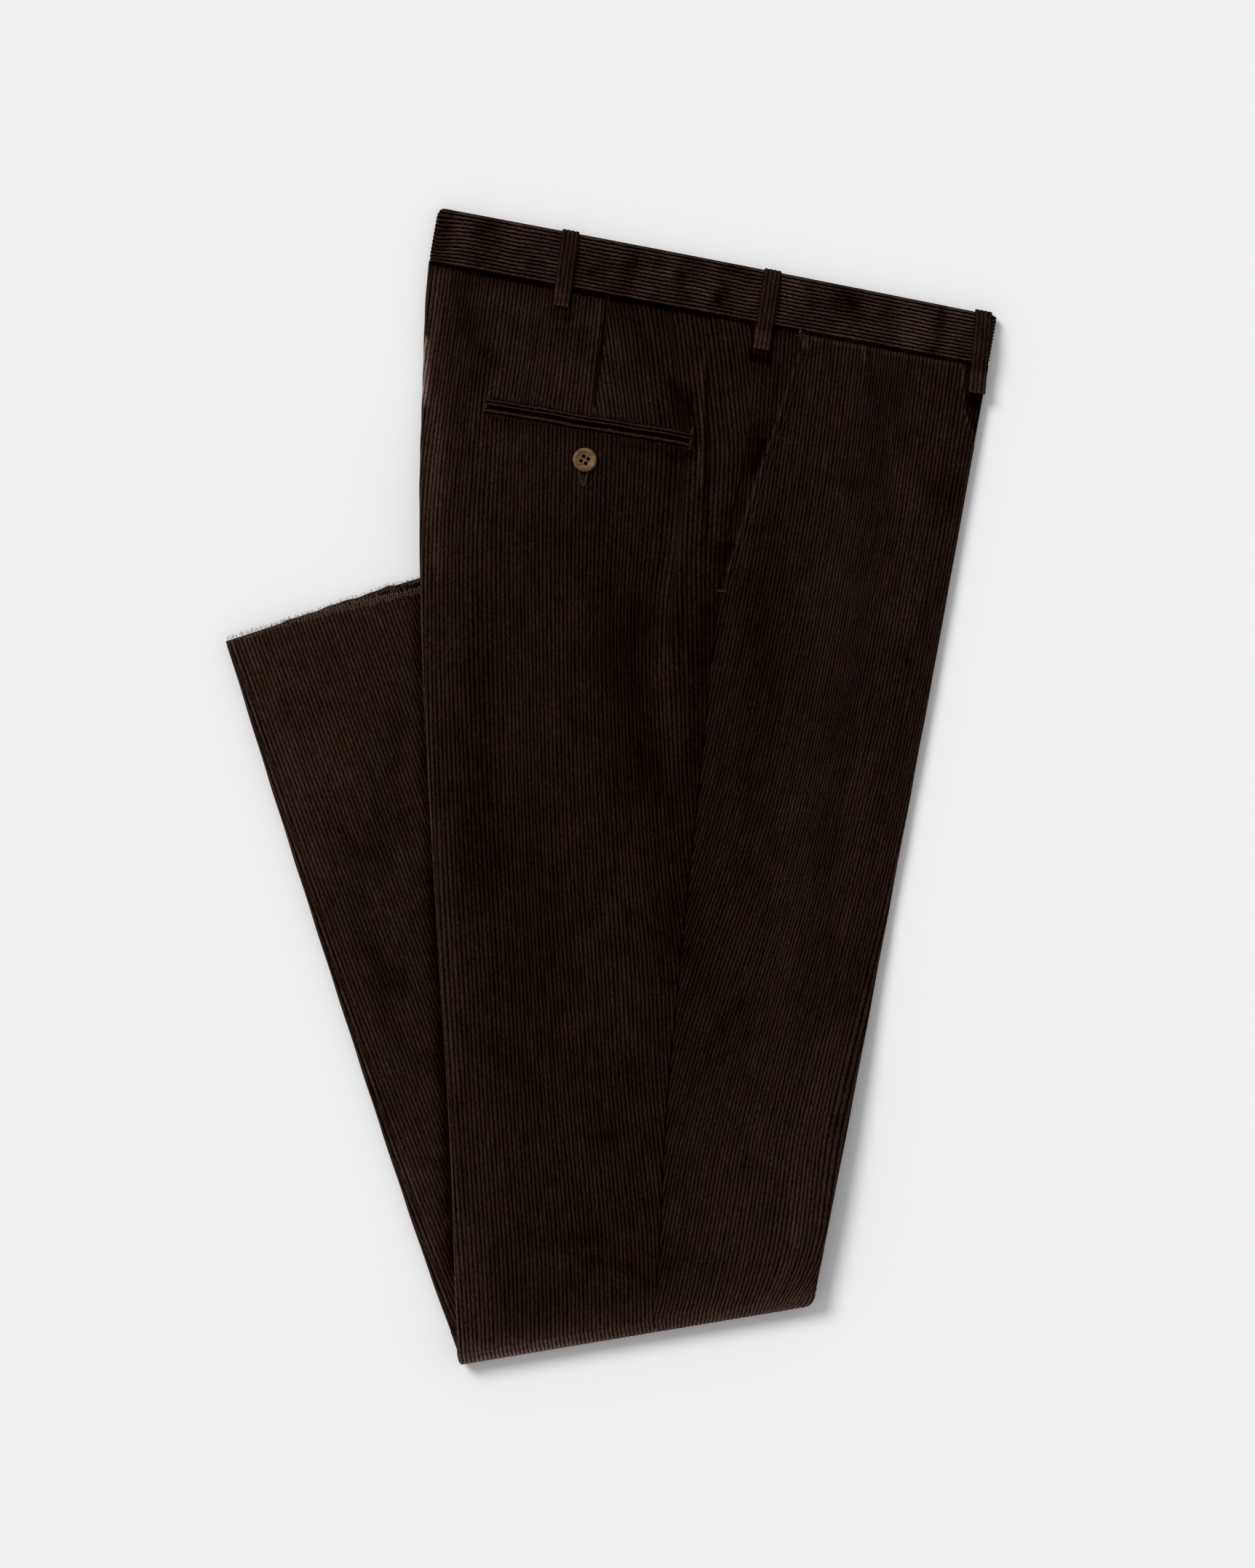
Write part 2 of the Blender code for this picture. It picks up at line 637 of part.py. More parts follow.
def hem_slots():
    """Openings between the layers at the hem, cut from the hidden layers."""
    across = (HEM_RIGHT - HEM_LEFT).normalized()
    out = Vector((-across.y, across.x))
    wide = (HEM_RIGHT - HEM_LEFT).length
    p = (HEM_LEFT + HEM_RIGHT) / 2 + out * HEM_STEP
    target = bpy.data.objects["hidden_layers"]
    for n, (depth, inset) in enumerate(HEM_SLOTS):
        bm = bmesh.new()
        bmesh.ops.create_cube(bm, size=1.0)
        size = Vector((wide - 2 * inset, 2 * HEM_SLOT_DEEP, HEM_SLOT_HIGH))
        bmesh.ops.scale(bm, vec=size * MM, verts=bm.verts)
        slot = bpy.data.objects.new(f"hem_slot_{n}", bpy.data.meshes.new(f"hem_slot_{n}"))
        bm.to_mesh(slot.data)
        bm.free()
        bpy.context.collection.objects.link(slot)
        slot.location = Vector((p.x, p.y, STACK - depth)) * MM
        slot.rotation_euler = (0, 0, across.angle_signed(Vector((1, 0))))
        slot.hide_render = True
        slot.display_type = "WIRE"
        target.modifiers.new(slot.name, "BOOLEAN").object = slot


for old in list(bpy.data.objects):
    bpy.data.objects.remove(old)
right_leg()
lower_leg()
hidden_layers()
hem_slots()
waistband()
for loop_name, (loop_top, loop_bottom) in LOOPS.items():
    belt_loop(loop_name, loop_top, loop_bottom)
for welt_name, (welt_low, welt_high) in WELTS.items():
    pocket_welt(welt_name, welt_low, welt_high)
pocket_button()
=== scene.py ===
import bpy
import bmesh
import json
import numpy as np
from functools import partial
from math import pi, radians, sin, cos
from mathutils import Matrix, Vector

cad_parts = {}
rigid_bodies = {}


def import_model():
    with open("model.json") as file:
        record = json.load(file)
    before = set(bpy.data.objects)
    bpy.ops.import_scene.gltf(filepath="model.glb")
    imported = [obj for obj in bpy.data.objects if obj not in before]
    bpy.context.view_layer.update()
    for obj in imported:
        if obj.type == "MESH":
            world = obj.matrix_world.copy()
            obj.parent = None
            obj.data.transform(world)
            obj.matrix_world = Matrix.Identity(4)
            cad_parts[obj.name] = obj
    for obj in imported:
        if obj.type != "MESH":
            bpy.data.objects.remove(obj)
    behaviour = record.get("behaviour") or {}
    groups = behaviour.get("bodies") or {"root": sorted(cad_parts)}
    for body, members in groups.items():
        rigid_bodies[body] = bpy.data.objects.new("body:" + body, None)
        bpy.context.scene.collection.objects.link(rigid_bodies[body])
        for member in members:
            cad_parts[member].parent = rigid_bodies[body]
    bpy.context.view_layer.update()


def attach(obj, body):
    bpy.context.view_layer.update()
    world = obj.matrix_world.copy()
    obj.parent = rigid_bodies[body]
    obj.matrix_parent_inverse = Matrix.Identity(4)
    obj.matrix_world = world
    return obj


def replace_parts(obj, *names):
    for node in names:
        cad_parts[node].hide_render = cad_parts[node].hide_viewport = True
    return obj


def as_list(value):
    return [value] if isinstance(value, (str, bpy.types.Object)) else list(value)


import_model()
mm = 0.001
print("frame loaded")

cloth = {
    "wale": 2.54,  # one rib with its furrow
    "relief": 0.5,  # height of a rib
    "thick": 1.8,
    "gap": 0.3,  # between pieces that meet
    "slack": 0.8,  # between a panel and the layers under it
    "tuck": 4.0,  # how far a panel runs back under its fold
    "profile": [(0.0, 1.0), (0.17, 0.36), (0.5, 0.0), (0.83, 0.36)],  # phase of a rib, share of its depth
    "wobble": 0.1,  # a rib wanders this much sideways
}
foldRadius = cloth["thick"] + cloth["gap"] / 2
foldEnd = -(pi - 1) * foldRadius - cloth["tuck"]  # where a panel ends under its fold
underPanel = cloth["gap"] / 2 + cloth["thick"] + cloth["slack"]  # where the layers under a panel begin

bundle = {
    "stack": 8.55,  # height of the knee fold's axis, with four layers under it and four above
    "reach": 30.0,  # the thigh stays level this far past the lower leg
    "drop": 100.0,  # and then sinks to the floor over this distance
    "corner": 5.0,  # rounding of the knee fold's front corner
    "cornerReach": 40.0,
    # the folds and creases: y, x
    "seatFold": [(328.2, -114.4), (300.0, -116.6), (272.0, -117.6), (180.0, -119.8), (68.0, -117.5),
                 (-99.0, -108.3), (-206.0, -101.6), (-352.9, -96.2)],
    "frontCrease": [(263.2, 235.7), (67.0, 200.4), (-110.0, 167.2), (-315.3, 127.3)],
    "shinFold": [(-352.9, -96.2), (-292.0, -118.0), (-201.0, -148.4), (-20.0, -206.6), (90.9, -241.1)],
    "shinCrease": [(-315.3, 127.3), (154.5, -45.2)],
}

seams = {
    # station, x
    "side": [(0.0, 87.6), (0.12, 84.8), (0.21, 72.7), (0.272, 67.0), (0.42, 57.5), (0.56, 48.2), (0.68, 40.5),
             (0.8, 33.8), (0.94, 29.3), (1.0, 26.1)],
    "slash": [(0.0, 121.7), (0.05, 111.0), (0.107, 99.8), (0.198, 81.6), (0.272, 67.2)],
    "tack": 0.272,  # station where the slash opening ends
    "dart": [(0.0, -1.1), (0.06, -6.0), (0.112, -10.4)],
    # station, distance from the front crease
    "fly": [(0.0, 15.0), (0.025, 13.8), (0.05, 11.0), (0.067, 6.7), (0.083, 0.0), (0.1, -8.5)],
    "shin": 117.3,  # from the lower leg's fold
}
dartEnd = seams["dart"][-1][0]
flyLow = seams["fly"][-1][0]


# The folded bundle: a place is a distance across, a station and a height.
# Stations run from 0 at the waist to 1 at the knee, round its fold to 2, and on to 3 at the hem.

def softCurve(table, at):
    keys, values = np.array(sorted(table), float).T
    steep = np.diff(values) / np.diff(keys)
    middle = (values[2:] - values[:-2]) / (keys[2:] - keys[:-2])
    slopes = np.concatenate([steep[:1], middle, steep[-1:]])
    at = np.asarray(at, float)
    k = np.clip(np.searchsorted(keys, at, side="right") - 1, 0, len(keys) - 2)
    wide = keys[k + 1] - keys[k]
    u = (at - keys[k]) / wide
    w = np.clip(u, 0, 1)
    curve = ((1 + 2 * w) * (1 - w) ** 2 * values[k] + w * (1 - w) ** 2 * wide * slopes[k]
             + w ** 2 * (3 - 2 * w) * values[k + 1] - w ** 2 * (1 - w) * wide * slopes[k + 1])
    beyond = np.where(u < 0, u * wide * slopes[k], np.where(u > 1, (u - 1) * wide * slopes[k + 1], 0))
    return curve + beyond


def mix(a, b, u):
    return a + (b - a) * u


def peak(away, half):
    return np.exp(-(away / half) ** 2)


def ease(u):
    u = np.clip(u, 0, 1)
    return u * u * (3 - 2 * u)


def foldPoint(table, u):
    y = mix(table[0][0], table[-1][0], u)
    return np.stack([softCurve(table, y), y], axis=-1)


def rowEnds(station):
    station = np.asarray(station, float)
    thigh = (station < 1)[..., None]
    u = np.where(station < 1, station, np.clip(station - 2, 0, None))
    left = np.where(thigh, foldPoint(bundle["seatFold"], u), foldPoint(bundle["shinFold"], u))
    right = np.where(thigh, foldPoint(bundle["frontCrease"], u), foldPoint(bundle["shinCrease"], u))
    return left, right


def width(station):
    left, right = rowEnds(station)
    return np.linalg.norm(right - left, axis=-1)


kneeLeft, kneeRight = rowEnds(1.0)
hemLeft, hemRight = rowEnds(3.0)
kneeOut = np.array([kneeRight[1] - kneeLeft[1], kneeLeft[0] - kneeRight[0]])
kneeOut /= np.linalg.norm(kneeOut)
shinOutline = [kneeLeft, kneeRight, hemRight, hemLeft]


def toSegment(p, a, b):
    along = b - a
    u = np.clip(((p - a) @ along) / (along @ along), 0, 1)
    return np.linalg.norm(p - a - u[..., None] * along, axis=-1)


def toLine(p, points):
    line = np.array(points, float)
    return np.min([toSegment(p, a, b) for a, b in zip(line, line[1:])], axis=0)


def besideShin(p):
    away = np.full(p.shape[:-1], 1e9)
    inside = np.ones(p.shape[:-1], bool)
    for a, b in zip(shinOutline, shinOutline[1:] + shinOutline[:1]):
        side = (b - a)[0] * (p - a)[..., 1] - (b - a)[1] * (p - a)[..., 0]
        inside &= side >= 0
        away = np.minimum(away, toSegment(p, a, b))
    return np.where(inside, 0, away)


def thighZ(p, height):
    over = ease(1 - (besideShin(p) - bundle["reach"]) / bundle["drop"])
    return over * (bundle["stack"] + cloth["gap"] / 2) + height - cloth["gap"] / 2


def place(across, station, height):
    across, station, height = np.broadcast_arrays(across, station, height)
    left, right = rowEnds(station)
    wide = np.linalg.norm(right - left, axis=-1)
    along = (right - left) / wide[..., None]
    p = left + along * across[..., None]
    turn = pi * np.clip(station - 1, 0, 1)
    drawn = bundle["corner"] * np.sin(turn) ** 2 * ease(1 - (wide - across) / bundle["cornerReach"])
    onTurn = ((station > 1) & (station < 2))[..., None]
    turned = p + kneeOut * (height * np.sin(turn))[..., None] - along * drawn[..., None]
    z = np.where(station <= 1, thighZ(p, height), bundle["stack"] + height * np.cos(turn))
    return np.concatenate([np.where(onTurn, turned, p), z[..., None]], axis=-1) * mm


# Soft creases in the cloth that shows: points in plan, height (below 0 for a trough), half width

creases = [
    ([(56, 276), (57, 225), (55, 182)], 1.5, 2.8),  # fold beside the back pocket
    ([(50, 196), (25, 155), (13, 119), (24, 84), (38, 55), (46, 0), (45, -60)], 2.2, 12),  # runs to the seam
    ([(61, 278), (62, 225), (61, 160), (60, 120)], -1.0, 3.5),  # trough along it
    ([(126, 283), (117, 256), (106, 222), (88, 168), (76, 130)], -0.5, 2.2),  # drawn in by the topstitch
    ([(45, 262), (47, 215), (42, 185)], -0.9, 6),
    ([(0, 190), (-6, 150), (-8, 118), (2, 80), (14, 40)], -0.8, 10),
    ([(-112, 300), (-104, 240), (-110, 170)], 1.6, 6),  # drag beside the seat fold
    ([(-60, 285), (-78, 205), (-82, 120)], 0.9, 12),
    ([(-74, 267), (-84, 227), (-95, 162), (-97, 110)], -1.1, 7),
    ([(-98, 290), (-97, 255), (-101, 215)], -0.7, 4),
    ([(158, 275), (160, 255), (163, 235)], 1.1, 2.5),  # pleat under the waistband
    ([(166, 262), (178, 225), (182, 190)], -0.9, 12),
    ([(66, 76), (60, 70), (56, 62)], -0.9, 5),  # pucker below the pocket's tack
    ([(82, 120), (74, 40), (60, -60)], 0.8, 9),
    ([(148, 240), (140, 120), (118, -60), (96, -250)], 0.7, 16),  # soft crease down the front panel
    ([(178, 150), (166, 60), (150, -30)], -0.6, 16),
    ([(118, -250), (112, -290), (113, -318)], 1.0, 7),  # round the front corner of the knee
    ([(104, -262), (100, -300)], -0.8, 6),
    ([(-20, -60), (-30, -180), (-25, -260)], 0.7, 22),
    ([(-62, 90), (-62, -60), (-55, -200)], -0.7, 20),
    ([(20, 20), (14, -80), (4, -190)], -0.6, 16),
]


calm = {
    "fold": 14,  # creases fade out over this distance to a fold
    "knee": 0.015,  # and over this part of the leg to the knee
    "sunk": 2.2,  # a panel's end lies this much lower under the waistband
}


def creaseHeight(p):
    rise = np.zeros(p.shape[:-1])
    for points, high, half in creases:
        rise += high * ease(1.5 - toLine(p, points) / half)
    return rise


def softWaves(p):
    x, y = p[..., 0], p[..., 1]
    return (0.34 * np.sin(x / 17 + 1.3 * np.sin(y / 61)) * np.sin(y / 43 + 0.8)
            + 0.24 * np.sin(x / 9.1 + y / 37 + 2.0) * np.sin(y / 71 + x / 53)
            + 0.12 * np.sin(x / 5.3 - y / 19) * np.sin(y / 23 + 1.1))


# Where the pile is lighter or darker: mostly painted light and shade on folds, edges and hollows, partly
# brushed nap: points in plan, share added, half width

napShadeMarks = [
    ([(-116.2, 278), (-116.8, 262), (-117.6, 242)], 10.0, 2.2),  # lit side of the seat fold
    ([(-108, 320), (-110.5, 292), (-114, 262), (-117, 240)], 0.9, 3.5),
    ([(-106, 318), (-108, 250), (-109, 180)], 0.35, 8),
    ([(-108, 200), (-109, 120), (-104, 60)], 0.25, 12),
    ([(-89, 312), (-87, 280), (-86, 252)], -0.3, 7),  # painted shade in the hollows of the seat
    ([(-78, 272), (-72, 264)], -0.4, 5),
    ([(2, 300), (18, 289)], -0.3, 8),
    ([(36, 254), (49, 238)], -0.3, 5),
    ([(-74, 229), (-10, 218), (44, 208)], -0.35, 4),
    ([(-2.2, 303), (-3, 288), (-4.8, 274), (-7.5, 259), (-10.2, 241)], -0.3, 0.8),  # painted shade along the dart
    ([(-7, 303), (-8.5, 275)], 0.35, 3),
    ([(58.6, 270), (56.4, 255), (56.4, 225), (55.8, 188)], 1.3, 0.8),  # painted highlight on the edge of the fold beside the pocket
    ([(55, 210), (55, 194)], 0.5, 1.4),
    ([(59.6, 264), (59.4, 205), (59, 150)], -0.5, 1.5),
    ([(50, 235), (50, 205)], -0.3, 4.5),
    ([(122.6, 283), (111.9, 255), (100.7, 221), (82.5, 166.5), (70.5, 128)], 0.9, 0.7),  # painted highlight on the edge of the slash
    ([(126, 283), (117, 256), (106, 222), (88, 168), (76, 130)], -0.35, 1.8),
    ([(94.5, 215), (88.5, 197)], -0.55, 2.8),
    ([(120.5, 281), (122.5, 275)], 1.6, 1.4),
    ([(-113, 327.2), (236, 262.1)], -1.1, 1.3),  # shade under the waistband
    ([(-90, 322.5), (-30, 311.5), (60, 294.5)], -0.6, 2.4),
    ([(124, 280.6), (221, 262.6)], 0.8, 1.3),
    ([(219.9, 263), (219.4, 248), (220.2, 234), (223, 225.5), (228.2, 216)], 1.8, 0.7),  # painted highlight on the edge of the fly
    ([(157.4, 275), (157.8, 266)], 2.2, 0.8),  # painted highlight on the pleat
    ([(161, 275), (162, 262)], -0.5, 1.2),
    ([(-36, 296), (-27, 294)], -0.75, 3.2),  # shadows of the belt loops
    ([(88, 269), (98, 267)], -0.75, 3.2),
    ([(225, 242), (232, 240)], -0.5, 2.5),
    ([(-60, 265), (-20, 245)], 0.32, 30),
    ([(-30, 292), (20, 268)], -0.15, 25),
    ([(10, 180), (0, 120), (-10, 80)], -0.14, 26),  # painted shade below the pocket
    ([(42, 240), (44, 215), (34, 190)], -0.25, 9),
    ([(91, 192), (79, 138)], 0.3, 4.5),
    ([(90, 226), (80, 190), (70, 140)], -0.35, 7),  # shade along the slash opening
    ([(66, 150), (60, 80)], -0.2, 9),
    ([(38, 100), (35, 30), (35, 0), (39, -60), (38, -90)], -0.36, 20),  # painted shade beside the side seam
    ([(45, 168), (34, 122), (32, 70), (38, 10)], 0.42, 5.5),  # lit ribs of the fold that swings to the seam
    ([(14, 112), (13, 70), (22, 10)], -0.2, 6),
    ([(60, 112), (56, 60), (51, 0)], -0.3, 4.5),
    ([(36, -110), (30, -180)], -0.18, 20),
    ([(10, 105), (6, 0), (0, -30)], -0.2, 13),
    ([(1, 122), (-1, 35)], -0.14, 14),
    ([(-48, -45), (-48, -115)], -0.22, 21),
    ([(20, -215), (26, -300)], -0.22, 26),
    ([(-84, 75), (-82, -60)], -0.3, 14),
    ([(-80, -80), (-78, -160)], -0.2, 14),
    ([(-111, 238), (-110, 140)], 0.75, 8),
    ([(-105, -20), (-99, -180)], 0.3, 6),
    ([(-92, -285), (-89, -345)], 0.7, 16),
    ([(186, 195), (184, 110)], 0.3, 11),  # lit side of the front crease
    ([(157, 20), (148, -85)], 0.3, 10),
    ([(136, -160), (128, -200), (116, -310)], 0.42, 13),
    ([(98, -300), (110, -318)], 0.3, 8),
    ([(104, 280), (100, 200)], -0.12, 16),
    ([(156, 230), (158, 205)], -0.18, 11),
    ([(132, 60), (126, -50)], -0.12, 14),
    ([(98, 160), (94, 60), (84, -60)], -0.2, 16),
    ([(78, -150), (76, -230)], -0.15, 18),
    ([(-84, 306), (-50, 300), (-10, 294)], 0.35, 9),
    ([(-3, 288), (-3, 250)], 0.22, 12),
    ([(40, 160), (42, 110)], -0.15, 14),
    ([(-40, -180), (-30, -300)], -0.12, 40),
    ([(162, 252), (180, 238)], -0.22, 7),  # small dark patches
    ([(140, 196), (152, 190)], -0.35, 6),
    ([(196, 190), (210, 182)], -0.3, 8),
    ([(-62, -268), (-45, -280), (-8, -281)], -0.3, 3),
    ([(-22, -292), (12, -300)], -0.3, 4),
    ([(-14, -218), (14, -218)], -0.25, 3),
    ([(36, -296), (70, -300)], -0.25, 5),
    ([(-40, -240), (-20, -320)], 0.08, 50),  # lighter towards the knee
    ([(88, -240), (80, -320)], 0.4, 50),
    ([(150, 240), (138, 120), (124, 0), (100, -160)], 0.22, 12),
    ([(140, 250), (195, 235)], 0.12, 30),
    ([(214, 150), (196, 40), (170, -90)], 0.1, 8),
    ([(118, -240), (114, -300)], 0.25, 6),
    ([(116, -258), (112, -288), (104, -308)], 0.3, 3),
    ([(121, -282), (112, -303)], -0.35, 2),
    ([(-86, -70), (-84, -120), (-80, -260)], 0.18, 14),
]


# Painted light and shade on the lower leg, with some brushed nap: points in plan, share added, half width
shinNapShadeMarks = [
    ([(-226, 92), (-150, -150), (-108, -290)], 0.25, 6),
    ([(-128, 120), (-122, 0), (-112, -120)], -0.12, 12),  # shade beside the thigh
    ([(-121, 130), (-118.5, 68), (-113, -20), (-108, -99), (-102, -206), (-98, -300)], -0.45, 5),
    ([(-215, 40), (-190, -40), (-165, -110), (-135, -190)], -0.12, 25),
    ([(-170, -60), (-130, -200)], -0.06, 40),
    ([(-160, -40), (-140, -120)], -0.25, 20),
    ([(-110, -60), (-104, -200), (-100, -300)], -0.3, 8),
    ([(-185, 60), (-190, 20)], 0.15, 30),
    ([(-225, 88), (-140, 120)], 0.14, 22),
    ([(-186, -45), (-160, -70), (-132, -100)], 0.12, 15),
    ([(-204, -20), (-188, -60)], 0.25, 10),
    ([(-138, 40), (-143, -35)], -0.26, 14),
    ([(-204, 60), (-195, -10)], 0.14, 14),
    ([(-142, -195), (-136, -215)], -0.25, 8),
]


# Adds up the marks' shares: painted light and shade, with some brushed nap
def napShadeAt(p, marks):
    share = np.ones(p.shape[:-1])
    for points, added, half in marks:
        share += added * peak(toLine(p, points), half)
    return share


def planPoint(across, station):
    left, right = rowEnds(station)
    along = (right - left) / np.linalg.norm(right - left, axis=-1)[..., None]
    return left + along * np.asarray(across)[..., None]


def raised(across, station, height):
    across, station, height = np.broadcast_arrays(across, station, height)
    p = planPoint(across, np.minimum(station, 1))
    fromFold = np.minimum(across, width(station) - across)
    fade = ease(fromFold / calm["fold"]) * (1 - ease((station - 1) / calm["knee"] + 1))
    out = place(across, station, height)
    sunk = calm["sunk"] * ease(-station / 0.0012)
    out[..., 2] += ((creaseHeight(p) + softWaves(p)) * fade - sunk) * mm
    return out


def onThigh(x, y, height):
    p = np.stack(np.broadcast_arrays(np.asarray(x, float), np.asarray(y, float)), axis=-1)
    z = thighZ(p, bundle["stack"] + height) + creaseHeight(p) + softWaves(p)
    return np.concatenate([p, z[..., None]], axis=-1) * mm


def roundFold(d, depth):
    angle = np.clip((foldRadius - d) / foldRadius, 0, pi)
    e = foldRadius - (foldRadius - depth) * np.sin(angle)
    e = np.where(angle >= pi, e + (foldRadius - d) - pi * foldRadius, e)
    down = foldRadius - (foldRadius - depth) * np.cos(angle)
    flat = d >= foldRadius
    return np.where(flat, d, e), np.where(flat, depth, down)


# Shells

def addObject(name, data):
    made = bpy.data.objects.new(name, data)
    bpy.context.scene.collection.objects.link(made)
    return made


def meshOf(name, bm):
    mesh = bpy.data.meshes.new(name)
    bm.to_mesh(mesh)
    bm.free()
    return mesh


def bakedMesh(made):
    bpy.context.view_layer.update()
    return bpy.data.meshes.new_from_object(made.evaluated_get(bpy.context.evaluated_depsgraph_get()))


def newPiece(name, mesh, material):
    mesh.materials.clear()
    mesh.materials.append(material)
    mesh.shade_smooth()
    piece = addObject(name, mesh)
    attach(piece, "root")
    return piece


def clothShell(name, outer, inner, wales, lengths, material, napshade=1.0):
    columns, rows = outer.shape[:2]
    bm = bmesh.new()
    bmesh.ops.create_grid(bm, x_segments=columns - 1, y_segments=rows - 1, size=1)
    number = bm.verts.layers.int.new("number")
    # the third attribute carries painted light and shade, with some brushed nap
    layers = [(bm.verts.layers.float.new(label), np.broadcast_to(values, (columns, rows)))
              for label, values in (("wale", wales), ("along", lengths), ("napshade", napshade))]
    for v in bm.verts:
        i = round((v.co.x + 1) / 2 * (columns - 1))
        j = round((v.co.y + 1) / 2 * (rows - 1))
        v[number] = i * rows + j
        for layer, values in layers:
            v[layer] = values[i, j]
        v.co = outer[i, j]
    bmesh.ops.remove_doubles(bm, verts=bm.verts, dist=0.01 * mm)
    if inner is not None:
        made = bmesh.ops.extrude_face_region(bm, geom=bm.faces[:], use_keep_orig=True)
        flat = inner.reshape(-1, 3)
        for v in made["geom"]:
            if isinstance(v, bmesh.types.BMVert):
                v.co = flat[v[number]]
        bmesh.ops.remove_doubles(bm, verts=bm.verts, dist=0.01 * mm)
        bmesh.ops.holes_fill(bm, edges=[e for e in bm.edges if e.is_boundary], sides=0)
    wires = [e for e in bm.edges if not e.link_faces]
    bmesh.ops.delete(bm, geom=wires, context="EDGES")
    bmesh.ops.delete(bm, geom=[v for v in bm.verts if not v.link_faces], context="VERTS")
    bmesh.ops.recalc_face_normals(bm, faces=bm.faces)
    if bm.calc_volume(signed=True) < 0:
        bmesh.ops.reverse_faces(bm, faces=bm.faces)
    return newPiece(name, meshOf(name, bm), material)


def waleColumns(first, last):
    columns = [(k + phase, share) for k in range(first, last + 1) for phase, share in cloth["profile"]]
    return np.array(columns).T


def ribColumns(wales):
    numbers, shares = waleColumns(0, wales)
    steps = wales * len(cloth["profile"]) + 1
    return numbers[:steps], shares[:steps]


def leanAt(leans, u, station):
    stations = np.array([row[0] for row in leans["rows"]])
    table = np.array([row[1] for row in leans["rows"]], float)
    across = np.array(leans["across"])
    k = int(np.clip(np.searchsorted(stations, station, side="right") - 1, 0, len(stations) - 2))
    share = ease((station - stations[k]) / (stations[k + 1] - stations[k]))
    return np.interp(u, across, mix(table[k], table[k + 1], share))


def followWales(leans, knee, border):
    stations = np.linspace(1, 0, 401)  # from the knee up
    xs = np.empty((len(knee), len(stations)))
    xs[:, 0] = knee
    for n, s in enumerate(stations[:-1]):
        x = xs[:, n]
        left, right = rowEnds(s)
        nextLeft, nextRight = rowEnds(stations[n + 1])
        slope = (right[1] - left[1]) / (right[0] - left[0])
        nextSlope = (nextRight[1] - nextLeft[1]) / (nextRight[0] - nextLeft[0])
        climb = nextLeft[1] + (x - nextLeft[0]) * nextSlope - left[1] - (x - left[0]) * slope
        low, high = border(s)
        lean = np.tan(np.radians(leanAt(leans, (x - low) / (high - low), s)))
        xs[:, n + 1] = x + lean * climb / (1 - nextSlope * lean)
    return stations[::-1], xs[:, ::-1]


def acrossOf(x, station):
    left, right = rowEnds(station)
    return (x - left[..., 0]) / ((right - left)[..., 0] / np.linalg.norm(right - left, axis=-1))


def clipColumns(stations, value):
    low = np.full(len(value), np.nan)
    high = np.full(len(value), np.nan)
    for i, f in enumerate(value):
        held = np.flatnonzero(f >= 0)
        if not len(held):
            continue
        a, b = held[0], held[-1]
        low[i], high[i] = stations[a], stations[b]
        if a:
            low[i] = mix(stations[a - 1], stations[a], f[a - 1] / (f[a - 1] - f[a]))
        if b + 1 < len(stations):
            high[i] = mix(stations[b], stations[b + 1], f[b] / (f[b] - f[b + 1]))
    return low, high


def seamX(station):
    return softCurve(seams["side"], np.minimum(station, 1))


def slashX(station):
    return softCurve(seams["slash"], station)


def frontEdgeX(station):
    return np.where(station < seams["tack"], slashX(station), seamX(station))


# Corduroy

pileLook = {
    # brightness of the crest and of the furrow, width of the furrow, patches; the furrow's darkness is partly
    # the cloth's bare ground and partly painted shade
    "thigh": {"Crest": 0.0150, "Furrow": 0.0008, "Furrow Width": 0.08, "Patches": 0.4},
    "lower": {"Crest": 0.0225, "Furrow": 0.0030, "Furrow Width": 0.08, "Patches": 0.4},
    "band": {"Crest": 0.0310, "Furrow": 0.0005, "Furrow Width": 0.28, "Patches": 0.85},
    "loop": {"Crest": 0.0185, "Furrow": 0.0050, "Furrow Width": 0.1, "Patches": 0.4},
    "welt": {"Crest": 0.0200, "Furrow": 0.0008, "Furrow Width": 0.45, "Patches": 0.4},
    "sheen": 0.02,
    "sheenTint": (1.0, 0.72, 0.58, 1),
    "fullTone": 0.08,  # brightness at the end of the tone table
    # share of that brightness, tint; the paler, pinker tints at the bright end are a painted sheen
    "tonesWithSheen": [(0.03, (1, 0.31, 0.08)), (0.075, (1, 0.45, 0.23)), (0.125, (1, 0.53, 0.34)),
              (0.2, (1, 0.58, 0.41)), (0.44, (1, 0.615, 0.47)), (1.0, (1, 0.66, 0.56))],
    "olive": (0.99, 1.03, 0.91, 1),
    "plum": (1.025, 0.945, 1.08, 1),
    # scale, detail and roughness of each noise
    "ragged": (420, 3, 0.65), "tufts": (1.6, 3, 0.7), "flecks": (560, 2, 0.7), "ribs": (0.9, 3, 0.6),
    "broad": (14, 3, 0.6), "small": (85, 4, 0.65), "hue": (55, 3, 0.6),
    "tuftStretch": (2.6, 1.1), "ribStretch": 0.045, "darkest": 0.0004,
}


def feed(tree, socket, value):
    if isinstance(value, bpy.types.NodeSocket):
        tree.links.new(value, socket)
    else:
        socket.default_value = value


def feedAll(tree, node, values):
    for label, value in values.items():
        feed(tree, node.inputs[label], value)


def mathNode(tree, operation, *values):
    node = tree.nodes.new("ShaderNodeMath")
    node.operation = operation
    for socket, value in zip(node.inputs, values):
        feed(tree, socket, value)
    return node.outputs[0]


def noiseNode(tree, vector, scale, detail, roughness):
    node = tree.nodes.new("ShaderNodeTexNoise")
    feedAll(tree, node, {"Scale": scale, "Detail": detail, "Roughness": roughness, "Vector": vector})
    return node.outputs["Fac"]


